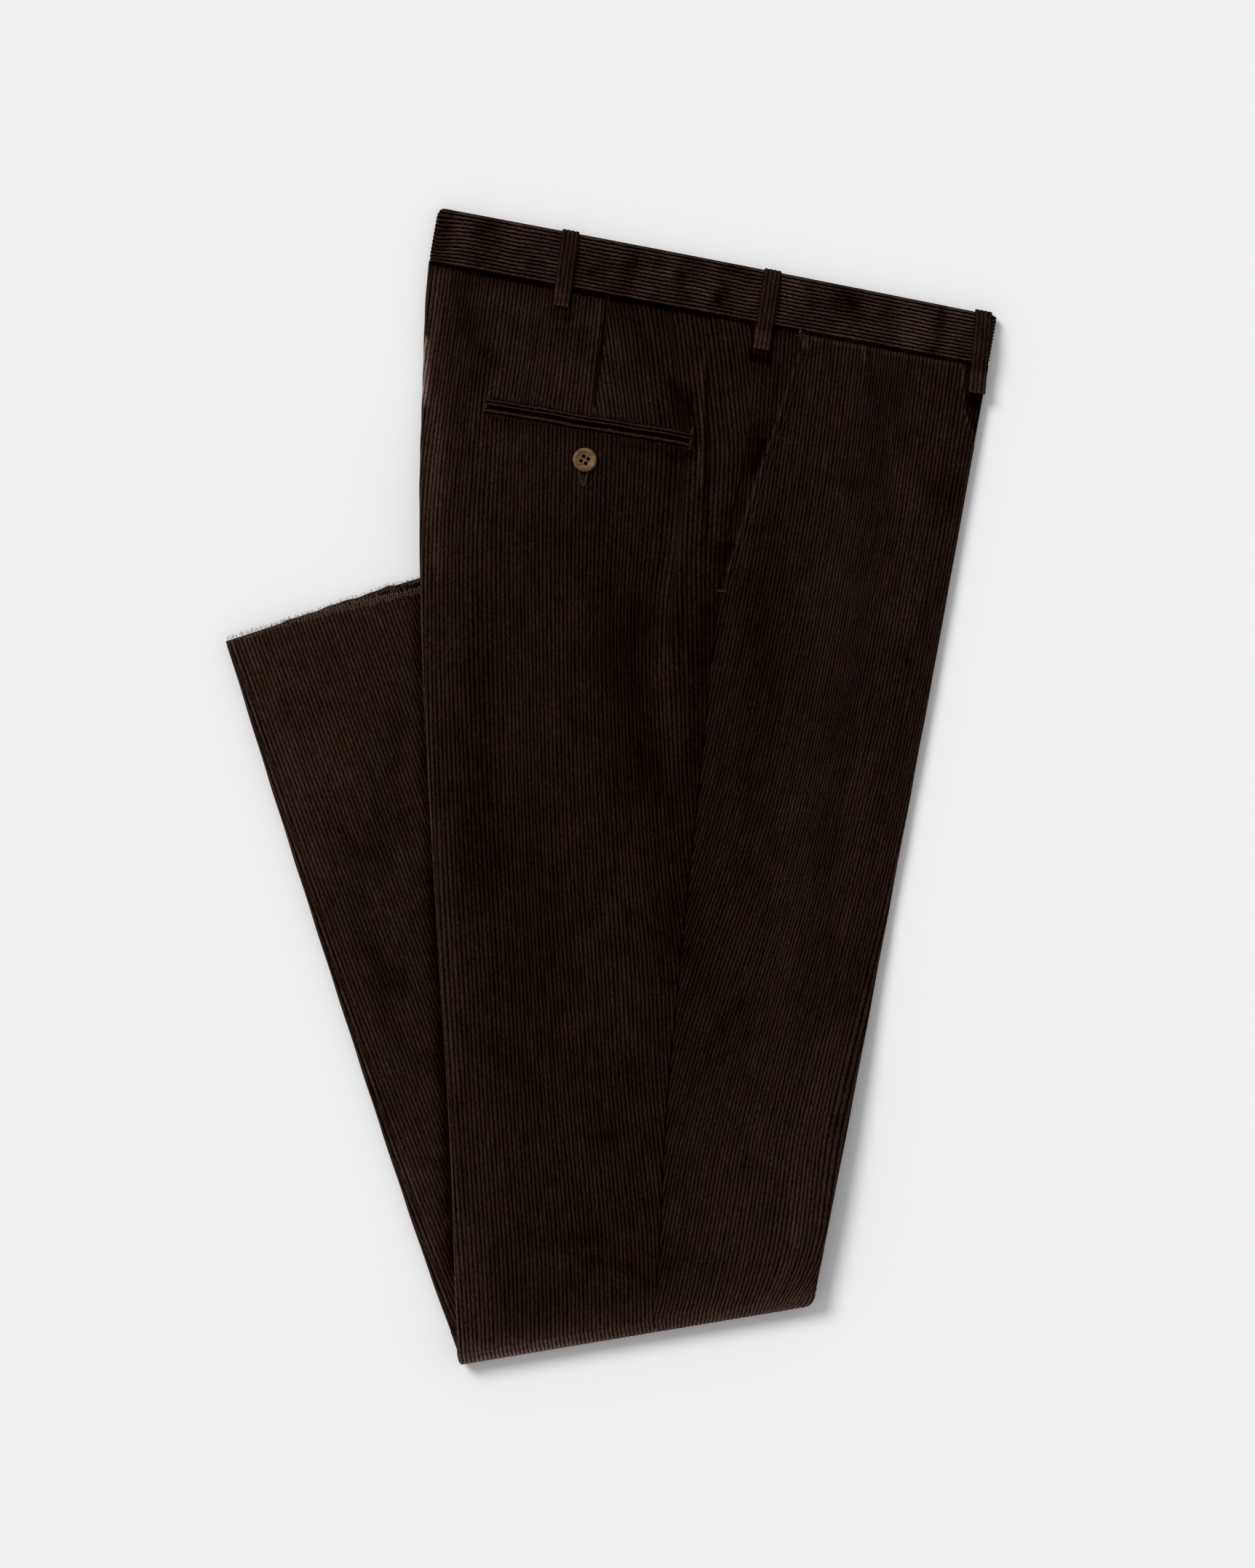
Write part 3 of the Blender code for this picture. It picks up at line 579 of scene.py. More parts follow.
def mapNode(tree, value, low, high, toLow, toHigh):
    node = tree.nodes.new("ShaderNodeMapRange")
    feed(tree, node.inputs["Value"], value)
    feedAll(tree, node, {"From Min": low, "From Max": high, "To Min": toLow, "To Max": toHigh})
    return node.outputs["Result"]


def mixColour(tree, factor, a, b, mode="MIX"):
    node = tree.nodes.new("ShaderNodeMix")
    node.data_type = "RGBA"
    node.blend_type = mode
    for index, value in ((0, factor), (6, a), (7, b)):
        feed(tree, node.inputs[index], value)
    return node.outputs[2]


def vectorNode(tree, across, along):
    node = tree.nodes.new("ShaderNodeCombineXYZ")
    tree.links.new(across, node.inputs[0])
    tree.links.new(along, node.inputs[1])
    return node.outputs[0]


def greyNode(tree, value):
    node = tree.nodes.new("ShaderNodeCombineColor")
    for socket in node.inputs:
        tree.links.new(value, socket)
    return node.outputs[0]


def toneNode(tree, value):
    node = tree.nodes.new("ShaderNodeValToRGB")
    ramp = node.color_ramp
    while len(ramp.elements) < len(pileLook["tonesWithSheen"]):
        ramp.elements.new(0.5)
    for stop, (at, tint) in zip(ramp.elements, pileLook["tonesWithSheen"]):
        stop.position = at
        stop.color = (*tint, 1)
    tree.links.new(value, node.inputs["Fac"])
    return node.outputs["Color"]


def makePileGroup():
    group = bpy.data.node_groups.new("corduroy pile", "ShaderNodeTree")
    for label in ("Wale", "Along", "Crest", "Furrow", "Furrow Width", "Patches", "Napshade"):
        group.interface.new_socket(label, in_out="INPUT", socket_type="NodeSocketFloat")
    group.interface.new_socket("Place", in_out="INPUT", socket_type="NodeSocketVector")
    for label, kind in (("Colour", "Color"), ("Roughness", "Float"), ("Height", "Float")):
        group.interface.new_socket(label, in_out="OUTPUT", socket_type="NodeSocket" + kind)
    given = group.nodes.new("NodeGroupInput").outputs
    out = group.nodes.new("NodeGroupOutput")
    maths, noise, remap = (partial(make, group) for make in (mathNode, noiseNode, mapNode))

    wale, along, spot = given["Wale"], given["Along"], given["Place"]
    ragged = maths("MULTIPLY_ADD", noise(spot, *pileLook["ragged"]), 0.7, -0.35)
    phase = maths("FRACT", maths("ADD", wale, ragged))
    ridge = maths("SUBTRACT", 1, maths("ABSOLUTE", maths("MULTIPLY_ADD", phase, 2, -1)))
    crest = remap(ridge, given["Furrow Width"], 0.62, 0, 1)
    across, down = pileLook["tuftStretch"]
    tuftPlace = vectorNode(group, maths("MULTIPLY", wale, across), maths("MULTIPLY", along, down))
    tufts = noise(tuftPlace, *pileLook["tufts"])
    ribPlace = vectorNode(group, maths("FLOOR", wale), maths("MULTIPLY", along, pileLook["ribStretch"]))
    ribShade = noise(ribPlace, *pileLook["ribs"])
    flecks, broad, small = (noise(spot, *pileLook[name]) for name in ("flecks", "broad", "small"))
    patch = maths("ADD", maths("MULTIPLY_ADD", broad, 1.5, -0.75), maths("MULTIPLY_ADD", small, 2.4, -1.2))
    # this adds the attribute's painted light and shade, with some brushed nap, to the random patches
    patch = maths("MULTIPLY_ADD", patch, given["Patches"], given["Napshade"])
    grain = maths("MULTIPLY", maths("MULTIPLY", tufts, 2.0), maths("MULTIPLY_ADD", flecks, 1.5, 0.25))
    streak = maths("MULTIPLY_ADD", ribShade, 1.1, 0.45)
    shade = maths("MULTIPLY", maths("MULTIPLY", grain, streak), patch)
    level = remap(crest, 0, 1, given["Furrow"], given["Crest"])
    level = maths("MAXIMUM", maths("MULTIPLY", level, shade), pileLook["darkest"])
    tint = toneNode(group, maths("DIVIDE", level, pileLook["fullTone"]))
    hue = remap(noise(spot, *pileLook["hue"]), 0.38, 0.62, 0, 1)
    tint = mixColour(group, 1.0, tint, mixColour(group, hue, pileLook["olive"], pileLook["plum"]), "MULTIPLY")
    feedAll(group, out, {
        "Colour": mixColour(group, 1.0, tint, greyNode(group, level), "MULTIPLY"),
        "Roughness": remap(tufts, 0.3, 0.7, 0.82, 0.98),
        "Height": maths("ADD", tufts, maths("MULTIPLY", crest, 0.3)),
    })
    return group


pileGroup = makePileGroup()


def attributeNode(tree, name):
    node = tree.nodes.new("ShaderNodeAttribute")
    node.attribute_name = name
    return node.outputs["Fac"]


def newMaterial(name):
    material = bpy.data.materials.new(name)
    material.use_nodes = True
    return material, material.node_tree, material.node_tree.nodes["Principled BSDF"]


def makeCorduroy(name, look):
    material, tree, shader = newMaterial(name)
    pile = tree.nodes.new("ShaderNodeGroup")
    pile.node_tree = pileGroup
    where = tree.nodes.new("ShaderNodeTexCoord")
    bump = tree.nodes.new("ShaderNodeBump")
    feedAll(tree, pile, {label: attributeNode(tree, label.lower()) for label in ("Wale", "Along", "Napshade")})
    feedAll(tree, pile, {"Place": where.outputs["Object"], **look})
    feedAll(tree, bump, {"Strength": 0.6, "Distance": 0.25 * mm, "Height": pile.outputs["Height"]})
    feedAll(tree, shader, {
        "Base Color": pile.outputs["Colour"], "Roughness": pile.outputs["Roughness"],
        "Normal": bump.outputs["Normal"], "Specular IOR Level": 0.0,
        "Sheen Weight": pileLook["sheen"], "Sheen Roughness": 0.4, "Sheen Tint": pileLook["sheenTint"],
    })
    return material


def makePlain(name, colour, roughness):
    material, tree, shader = newMaterial(name)
    where = tree.nodes.new("ShaderNodeTexCoord").outputs["Object"]
    fade = mapNode(tree, noiseNode(tree, where, 900, 2, 0.6), 0.3, 0.7, 0.72, 1.25)
    mottled = mixColour(tree, 1.0, (*colour, 1), greyNode(tree, fade), "MULTIPLY")
    feedAll(tree, shader, {"Base Color": mottled, "Roughness": roughness, "Specular IOR Level": 0.0})
    return material


thighPile = makeCorduroy("corduroy thigh", pileLook["thigh"])
lowerPile = makeCorduroy("corduroy lower leg", pileLook["lower"])
bandPile = makeCorduroy("corduroy waistband", pileLook["band"])
weltPile = makeCorduroy("corduroy pocket welts", pileLook["welt"])
loopPile = makeCorduroy("corduroy belt loops", pileLook["loop"])
hiddenPile = makeCorduroy("corduroy hidden layers", pileLook["lower"])
print("materials made")


# Panels of the right leg

turnEnd = 2.012  # the thigh's cloth ends just past the turn
panelRows = np.concatenate([[-0.0015, -0.0006], np.linspace(0, 0.02, 14), np.arange(0.0235, 0.3, 0.0062),
                            np.linspace(0.302, 0.985, 64), [0.9925, 0.9965], np.linspace(1, 2, 15),
                            [turnEnd]])
panelLength = 680.0

backPanel = {
    "leans": {  # degrees, above 0 to the right going up
        "across": [0.0, 0.15, 0.35, 0.5, 0.75, 0.84, 0.87, 0.93, 1.0],
        "left": [(0.0, [7, 7, 7, 6, 6, 6, 6, 6, 6]), (0.06, [8, 9, 7, 6, 6, 6, 6, 6, 6]),
                 (0.11, [9, 6, 10, 6, 6, 6, 6, 6, 6]), (0.13, [9, 5, 2, 2, 2, 2, 2, 2, 2])],
        "right": [(0.0, [-10, -10, -10, -11, -9, -5, -1, 3, 6]), (0.06, [-8, -8, -8, -8, -6, -3, 0, 2, 5]),
                  (0.11, [-8, -8, -8, -9, -7, -2, 0, 2, 4]), (0.13, [0, 0, 0, 0, -2, 0, 0, 2, 4])],
        "rows": [(0.15, [8, 4, 0, 1, 2, 5, 0, 2, 4]), (0.21, [5, 4, 1, 1, 4, 5, 1, 2, 4]),
                 (0.26, [2, 1, 0, 0, 5, 9, -4, 2, 5]), (0.32, [0, -1, -1, 0, 0, 2, -2, 1, 1]),
                 (0.40, [-1, -2, -1, -1, -2, -3, -3, -1, 0]), (0.5, [-2, -3, -2, -2, -4, -4, -4, -4, -4]),
                 (0.6, [-3, -4, -3, -4, -4, -6, -6, -7, -7]), (0.7, [-4, -3, -3, -4, -3, -2, -2, -2, -2]),
                 (0.82, [-4, -4, -4, -5, -6, -6, -6, -6, -6]), (0.88, [-4, -4, -5, -5, -5, -6, -6, -6, -6]),
                 (0.94, [-4, -3, -2, -2, -2, -2, -2, -2, -2]), (1.0, [-4, -2, 0, 0, 0, 0, 0, 0, 0])],
    },
    "wales": (-34, 104), "seamWale": 48,
    "pitch": (0.8, 3.0),  # narrowest and widest
    "steady": 32,  # x of the wale that the others are set out from
    "dartGroove": (0.8, 2.2),  # depth, half width
    "seamGroove": (0.5, 3.0),
}
frontPanel = {
    "leans": {
        "across": [0.0, 0.3, 0.6, 0.9, 1.0],
        "rows": [(0.0, [6, 6, 6, 9, 10]), (0.07, [7, 7, 7, 9, 10]), (0.14, [8, 8, 8, 9, 10]),
                 (0.21, [10, 10, 10, 11, 12]), (0.3, [12, 12, 11, 11, 12]), (0.4, [13, 13, 13, 13, 13]),
                 (0.5, [17, 17, 14, 15, 13]), (0.6, [21, 20, 16, 15, 14]), (0.7, [16, 18, 16, 15, 14]),
                 (0.8, [15, 15, 14, 13, 13]), (0.87, [11, 10, 8, 6, 9]), (0.92, [11, 11, 9, 6, 9]),
                 (0.955, [12, 12, 13, 15, 17]), (0.98, [13, 14, 18, 25, 30]), (1.0, [15, 16, 22, 33, 38])],
    },
    "wales": (-50, 58),
    "crowd": (29, 0.2),  # from this wale on they lie closer at the knee, by this much
    "lip": 0.5, "lipWidth": 7.0,
    "clear": (2, -0.4, 0.97),  # from the seam, in gaps, and at the knee, from this station on
    "drift": (25, 12),  # the wales keep their slope on the turn, fading in and out over this
}
# Painted light on the panels: a lit line by the front crease, lit lines along the seat fold, light on the
# knee's edge and its turn
panelPaintedLight = {
    "crease": (0.8, 0.5, 1.2),  # distance from the fold, share added, half width
    "seatLines": [(0.4, 2.6, 0.8), (2.3, -0.5, 0.6), (3.7, 0.7, 0.8)],
    # light on the knee: where it begins from each fold, over how much, and its share before the second
    "lit": (-20, 35, 110, 70, 0.45),
    "kneeLines": (0.45, 13, 0.9, 4),  # share, half width; share where it is lit, half width
    "turn": [(2.4, 0.99, 0.1), (10, 1.14, 0.2)],  # painted light on the knee's turned edge: share, station where it begins, over how much
    "darkest": 0.08,
}


def backBorder(station):
    left, _ = rowEnds(station)
    return left[0], float(seamX(station))


def frontBorder(station):
    _, right = rowEnds(station)
    return float(seamX(station)), right[0]


def ribWander(numbers, stations):
    rib = np.floor(numbers)
    return cloth["wobble"] * (np.sin(stations * 31 + rib * 1.7) + np.sin(stations * 83 + rib * 2.9) * 0.6)


# The pile's share on a panel: the marks' painted light and shade, and painted highlights along the folds and
# the knee's edge
def panelShade(across, station):
    napshade = napShadeAt(planPoint(np.clip(across, 0, width(station)), np.minimum(station, 1)), napShadeMarks)
    fromFront = width(station) - across
    lines = [(fromFront, *panelPaintedLight["crease"])] + [(across, *line) for line in panelPaintedLight["seatLines"]]
    for away, at, share, half in lines:
        napshade = napshade + share * peak(away - at, half)
    toKnee = (1 - np.minimum(station, 1)) * panelLength
    backStart, backOver, frontStart, frontOver, least = panelPaintedLight["lit"]
    fromBack = ease((across - backStart) / backOver)
    lit = fromBack * mix(least, 1, ease((fromFront - frontStart) / frontOver))
    share, half, litShare, litHalf = panelPaintedLight["kneeLines"]
    napshade = napshade + fromBack * share * peak(toKnee, half) + lit * litShare * peak(toKnee, litHalf)
    return napshade + lit * sum(share * ease((station - start) / over) for share, start, over in panelPaintedLight["turn"])


def buildPanel(name, numbers, shares, stations, xs, inside, point, rows, shade=0.0, drift=None):
    acrossAll = acrossOf(xs, stations)
    low, high = clipColumns(stations, inside(acrossAll, stations))
    kept = np.flatnonzero(~np.isnan(low))
    atStation = np.empty((len(kept), len(rows)))
    across = np.empty_like(atStation)
    for n, i in enumerate(kept):
        top = high[i] if high[i] < stations[-1] - 1e-9 else rows[-1]
        start = rows[0] if low[i] < 1e-9 else low[i]
        atStation[n] = np.clip(rows, start, top)
        across[n] = np.interp(atStation[n], stations, acrossAll[i])
        if drift is not None:
            slope = (acrossAll[i, -1] - acrossAll[i, -2]) / (stations[-1] - stations[-2]) / panelLength
            onTurn = np.clip(atStation[n] - 1, 0, 0.5) * pi * bundle["stack"]
            across[n] += slope * drift(across[n, -1]) * onTurn
    number, share = numbers[kept][:, None], shares[kept][:, None]
    across = across + ribWander(number, atStation) * ((atStation > low[kept][:, None]) & (atStation < 1))
    depth = cloth["relief"] * share * np.ones_like(across)
    outer = point(across, atStation, depth)
    inner = point(across, atStation, np.full_like(depth, cloth["thick"]))
    napshade = np.maximum(panelShade(across, atStation) - shade, panelPaintedLight["darkest"])
    return clothShell(name, outer, inner, number, atStation * panelLength, thighPile, napshade)


def backWales():
    numbers, shares = waleColumns(*backPanel["wales"])
    knee = float(seamX(1.0)) - cloth["gap"] / 2 + (numbers - backPanel["seamWale"]) * cloth["wale"]
    leans = backPanel["leans"]
    sides = {}
    for side in ("left", "right"):
        table = {"across": leans["across"], "rows": leans[side] + leans["rows"]}
        stations, xs = followWales(table, knee, backBorder)
        share = np.diff(numbers)[:, None]
        steps = np.clip(np.diff(xs, axis=0) / share, *backPanel["pitch"]) * share
        anchor = int(np.argmin(np.abs(xs[:, len(stations) // 5] - backPanel["steady"])))
        spread = np.concatenate([np.zeros((1, len(stations))), np.cumsum(steps, axis=0)])
        sides[side] = stations, spread - spread[anchor] + xs[anchor]
    stations = sides["left"][0]
    atDart = np.argmin(np.abs(stations - dartEnd))
    isLeft = sides["left"][1][:, atDart] <= softCurve(seams["dart"], stations[atDart])
    xs = np.where(isLeft[:, None], sides["left"][1], sides["right"][1])
    return numbers, shares, stations, xs, isLeft


def makeRightBack():
    numbers, shares, stations, xs, isLeft = backWales()
    dartX = softCurve(seams["dart"], stations)

    def inside(across, stations):
        value = np.minimum(acrossOf(seamX(stations), stations) - cloth["gap"] / 2 - across, across - foldEnd)
        beside = np.where(isLeft[:, None], dartX - xs, xs - dartX) + 0.02
        return np.where(stations < dartEnd, np.minimum(value, beside), value)

    def point(across, station, depth):
        e, down = roundFold(across, depth)
        p = planPoint(across, np.minimum(station, 1))
        toDart = np.abs(p[..., 0] - softCurve(seams["dart"], np.minimum(station, dartEnd)))
        deep, half = backPanel["dartGroove"]
        groove = deep * peak(toDart, half) * ease((dartEnd * 1.1 - station) / dartEnd * 2)
        toSeam = acrossOf(seamX(station), np.minimum(station, 1)) - across
        deep, half = backPanel["seamGroove"]
        groove = groove + deep * peak(toSeam, half) * (station < 1)
        return raised(e, station, bundle["stack"] - down - groove * (depth < 1))

    return buildPanel("rightBackPanel", numbers, shares, stations, xs, inside, point, panelRows)


def makeRightFront():
    numbers, shares = waleColumns(*frontPanel["wales"])
    crowdFrom, closer = frontPanel["crowd"]
    knee = (float(seamX(1.0)) + cloth["gap"] / 2 + numbers * cloth["wale"]
            - closer * np.maximum(numbers - crowdFrom, 0))
    stations, xs = followWales(frontPanel["leans"], knee, frontBorder)
    flyEdge = np.where(stations < flyLow, softCurve(seams["fly"], stations) + cloth["gap"], foldEnd)

    def inside(across, stations):
        along, atKnee, kneeFrom = frontPanel["clear"]
        clear = cloth["gap"] * np.where(stations > kneeFrom, atKnee, along)
        edge = acrossOf(frontEdgeX(stations), stations) + clear
        return np.minimum(across - edge, width(stations) - across - np.maximum(foldEnd, flyEdge))

    def point(across, station, depth):
        e, down = roundFold(width(station) - across, depth)
        toEdge = across - acrossOf(frontEdgeX(station), np.minimum(station, 1))
        lip = frontPanel["lip"] * ease(1 - toEdge / frontPanel["lipWidth"]) * (station < 1)
        return raised(width(station) - e, station, bundle["stack"] - down + lip * (depth < 1))

    def drift(across):
        fromSeam = across - acrossOf(seamX(1.0), 1.0)
        near, far = frontPanel["drift"]
        return ease(fromSeam / near) * ease((width(1.0) - across) / far)

    return buildPanel("rightFrontPanel", numbers, shares, stations, xs, inside, point, panelRows, drift=drift)


rightBack = makeRightBack()
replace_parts(rightBack, "right_back")
rightFront = makeRightFront()
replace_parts(rightFront, "right_front")
print("thigh panels", len(rightBack.data.polygons), len(rightFront.data.polygons))


# Lower leg

shin = {
    "lean": -3.1,  # the wales against the fold, degrees
    "frontLean": -8.0,
    "cut": (34.0, 160.0),  # from the fold, at the knee and the hem, where the shown cloth ends
    # from the fold, how much shorter the top hem is
    "short": [(0.0, -1.2), (30.0, -0.8), (60.0, 0.6), (80.0, 1.9), (94.0, 2.7), (110.0, 4.3), (125.0, 6.0),
              (165.0, 7.0)],
    "gape": (1.0, 95, 30),  # how far the hem opens beside the thigh, from where across, over how much
    "gapeFrom": 2.94,
    "wave": 0.7,  # share of the thigh's soft waves
    "from": 2.03,  # station where the panels begin
    "seamGroove": (0.5, 2.5),  # depth, half width
    "litFoldLines": [(0.2, 1.6), (2.4, -0.5), (4.0, 1.0), (5.8, -0.4), (7.6, 0.5)],  # painted highlights along the fold: from the fold, share added
    "lineHalf": 0.8,
    "hemLight": (0.2, 3.5),  # share added, half width
    "samples": 300, "rows": 118,
}
shinLength = float(np.linalg.norm(hemLeft - kneeLeft))


def hemStation(across):
    return 3 - softCurve(shin["short"], across) / shinLength


def gape(across, station):
    high, start, over = shin["gape"]
    return high * ease((across - start) / over) * ease((station - shin["gapeFrom"]) / (3 - shin["gapeFrom"]))


def shinCut(station):
    return mix(*shin["cut"], station - 2)


def shinSurface(across, station, depth, wrapped):
    e, down = roundFold(across, depth) if wrapped else (across, depth)
    p = place(e, station, cloth["gap"] / 2 + down)
    x, y = p[..., 0] / mm, p[..., 1] / mm
    sway = softWaves(np.stack([x + 90, y - 40], axis=-1)) * shin["wave"] * ease(across / 12)
    deep, half = shin["seamGroove"]
    sway = sway - deep * peak(across - seams["shin"], half) * (depth < 1)
    p[..., 2] += (np.minimum(sway, 0.25) + gape(across, station)) * mm
    return p


def shinPanel(name, start, lean, last, inside, wrapped):
    numbers, shares = waleColumns(-14, last)
    stations = np.linspace(shin["from"], 3.0, shin["samples"])
    drift = np.tan(np.radians(lean)) * shinLength * (stations - 3)
    acrossAll = start + numbers[:, None] * cloth["wale"] + drift
    toHem = (hemStation(acrossAll) - stations) * shinLength
    low, high = clipColumns(stations, np.minimum(inside(acrossAll, stations), toHem))
    rows = np.linspace(shin["from"], 3.0, shin["rows"])
    kept = np.flatnonzero(~np.isnan(low))
    atStation = np.array([np.clip(rows, low[i], high[i]) for i in kept])
    across = np.array([np.interp(a, stations, acrossAll[i]) for a, i in zip(atStation, kept)])
    depth = cloth["relief"] * shares[kept][:, None] * np.ones_like(across)
    outer = shinSurface(across, atStation, depth, wrapped)
    inner = shinSurface(across, atStation, np.full_like(depth, cloth["thick"]), wrapped)
    napshade = napShadeAt(planPoint(np.clip(across, 0, None), atStation), shinNapShadeMarks)
    # painted highlights along the lower leg's fold
    for at, share in shin["litFoldLines"]:
        napshade = napshade + share * peak(across - at, shin["lineHalf"])
    share, half = shin["hemLight"]
    napshade = napshade + share * peak((hemStation(across) - atStation) * shinLength, half)
    return clothShell(name, outer, inner, numbers[kept][:, None], atStation * shinLength, lowerPile, napshade)


def makeLowerLeg():
    def backInside(across, station):
        end = np.minimum(shinCut(station), seams["shin"] - cloth["gap"] / 2)
        return np.minimum(end - across, across - foldEnd)

    def frontInside(across, station):
        return np.minimum(shinCut(station) - across, across - seams["shin"] - cloth["gap"] / 2)

    back = shinPanel("leftBackPanel", 0.0, shin["lean"], 62, backInside, True)
    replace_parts(back, "left_back")
    front = shinPanel("leftFrontPanel", seams["shin"], shin["frontLean"], 40, frontInside, False)
    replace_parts(front, "left_front")
    return back, front


leftBack, leftFront = makeLowerLeg()
print("lower leg", len(leftBack.data.polygons), len(leftFront.data.polygons))


# The other layers at the hem

hem = {
    "from": 2.9455, "wall": 1.3,
    "length": 480,  # of a leg from knee to hem, for the pile
    # from the fold, past the hem
    "second": [(4, -3.5), (20, -1.5), (45, 0.6), (80, 1.0), (104, 1.1), (112, 0.4), (118, -4.0), (206, -4.0)],
    "far": [(0, -2.0), (60, -0.8), (100, 0.3), (116, 0.8), (206, 0.8)],
}
tubeTop = bundle["stack"] - 2 * foldRadius - cloth["gap"]  # how far from the axis the left leg reaches
coreInset = foldRadius + cloth["tuck"] + 0.6  # from a fold to what its panel covers


def lobe(low, high):
    r = (high - low) / 2
    return [(r - r * cos(a), low + r + r * sin(a)) for a in np.linspace(-pi / 2, pi / 2, 9)]


def hemEnd(across, table):
    ripple = 0.35 * np.sin(across / 5.2) + 0.2 * np.sin(across / 2.1 + 1)
    return 3 + (softCurve(table, across) + ripple) / shinLength


def makeHemSecond():
    numbers, shares = waleColumns(2, 78)
    across = (numbers * cloth["wale"] + coreInset - 4)[:, None]
    end = hemEnd(across, hem["second"])
    station = mix(hem["from"], end, np.linspace(0, 1, 12))
    outer = place(across, station, underPanel + 0.4 * shares[:, None])
    inner = place(across, station, tubeTop)
    # painted shade on this layer behind the hem, lighter only at its rim
    napshade = 0.35 + 0.5 * peak((end - station) * shinLength, 2.5)
    lengths = station * hem["length"]
    return clothShell("hemSecondLayer", outer, inner, numbers[:, None], lengths, hiddenPile, napshade)


def makeHemFar():
    wide = float(width(3.0))
    low, high = tubeTop + cloth["gap"], bundle["stack"]
    r = (high - low) / 2
    flat = np.linspace(0, 1, 60)[1:-1]
    rings = []
    for depth in (0, hem["wall"]):
        side = [(e + depth, h) for e, h in lobe(low + depth, high - depth)]
        ring = side + [(mix(r, wide - r, k), high - depth) for k in flat]
        ring += [(wide - e, h) for e, h in side[::-1]]
        ring += [(mix(wide - r, r, k), low + depth) for k in flat]
        rings.append(np.array(ring + ring[:1]))
    ring, slit = rings
    end = hemEnd(ring[:, 0], hem["far"])
    station = mix(hem["from"], end, np.linspace(0, 1, 10)[:, None])
    outer = place(ring[:, 0], station, ring[:, 1])
    inner = place(slit[:, 0], station, slit[:, 1])
    # painted shade inside the far leg's opening, lighter only at its rim
    napshade = 0.12 + 0.8 * peak((end - station) * shinLength, 0.9)
    wales, lengths = ring[:, 0] / cloth["wale"], station * hem["length"]
    return clothShell("hemFarLeg", outer, inner, wales, lengths, hiddenPile, napshade)


hemSecond = makeHemSecond()
hemFar = makeHemFar()
print("hem layers", len(hemSecond.data.polygons), len(hemFar.data.polygons))


# Pocket facing and fly

facing = {
    "lean": 4.0, "wales": (-14, 60), "shade": 0.12,
    "gap": 1.0,  # to the side seam
    "under": 3,  # it runs on this far under the slash edge
    "drop": 0.75,  # below the front panel
}
fly = {"lean": 11.5, "wales": (-16, 12), "shade": 0.6, "drop": 0.3}


def straightWales(part, knee, border):
    numbers, shares = waleColumns(*part["wales"])
    leans = {"across": [0, 1], "rows": [(0.0, [part["lean"]] * 2), (1.0, [part["lean"]] * 2)]}
    stations, xs = followWales(leans, knee + numbers * cloth["wale"], border)
    return numbers, shares, stations, xs


def makeFacing():
    numbers, shares, stations, xs = straightWales(facing, 0.0, backBorder)

    def inside(across, stations):
        value = np.minimum(across - acrossOf(seamX(stations), stations) - facing["gap"],
                           acrossOf(slashX(stations), stations) + facing["under"] - across)
        return np.where(stations < seams["tack"], value, -1)

    def point(across, station, depth):
        return raised(across, station, bundle["stack"] - facing["drop"] - depth * 0.7)

    rows = np.linspace(0, seams["tack"], 60)
    return buildPanel("sidePocketFacing", numbers, shares, stations, xs, inside, point, rows, facing["shade"])


def makeFly():
    numbers, shares, stations, xs = straightWales(fly, rowEnds(1.0)[1][0], frontBorder)

    def inside(across, stations):
        fromFold = width(stations) - across
        edge = softCurve(seams["fly"], stations) - cloth["gap"] / 2
        return np.where(stations < flyLow, np.minimum(edge - fromFold, fromFold - foldEnd), -1)

    def point(across, station, depth):
        e, down = roundFold(width(station) - across, depth)
        return raised(width(station) - e, station, bundle["stack"] - down - fly["drop"] * (depth < 1))

    rows = np.linspace(0, flyLow, 26)
    return buildPanel("flyEnd", numbers, shares, stations, xs, inside, point, rows, fly["shade"])


sideFacing = makeFacing()
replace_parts(sideFacing, "side_pocket_facing")
flyEnd = makeFly()
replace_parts(flyEnd, "fly")
print("facing and fly", len(sideFacing.data.polygons), len(flyEnd.data.polygons))


# Waistband

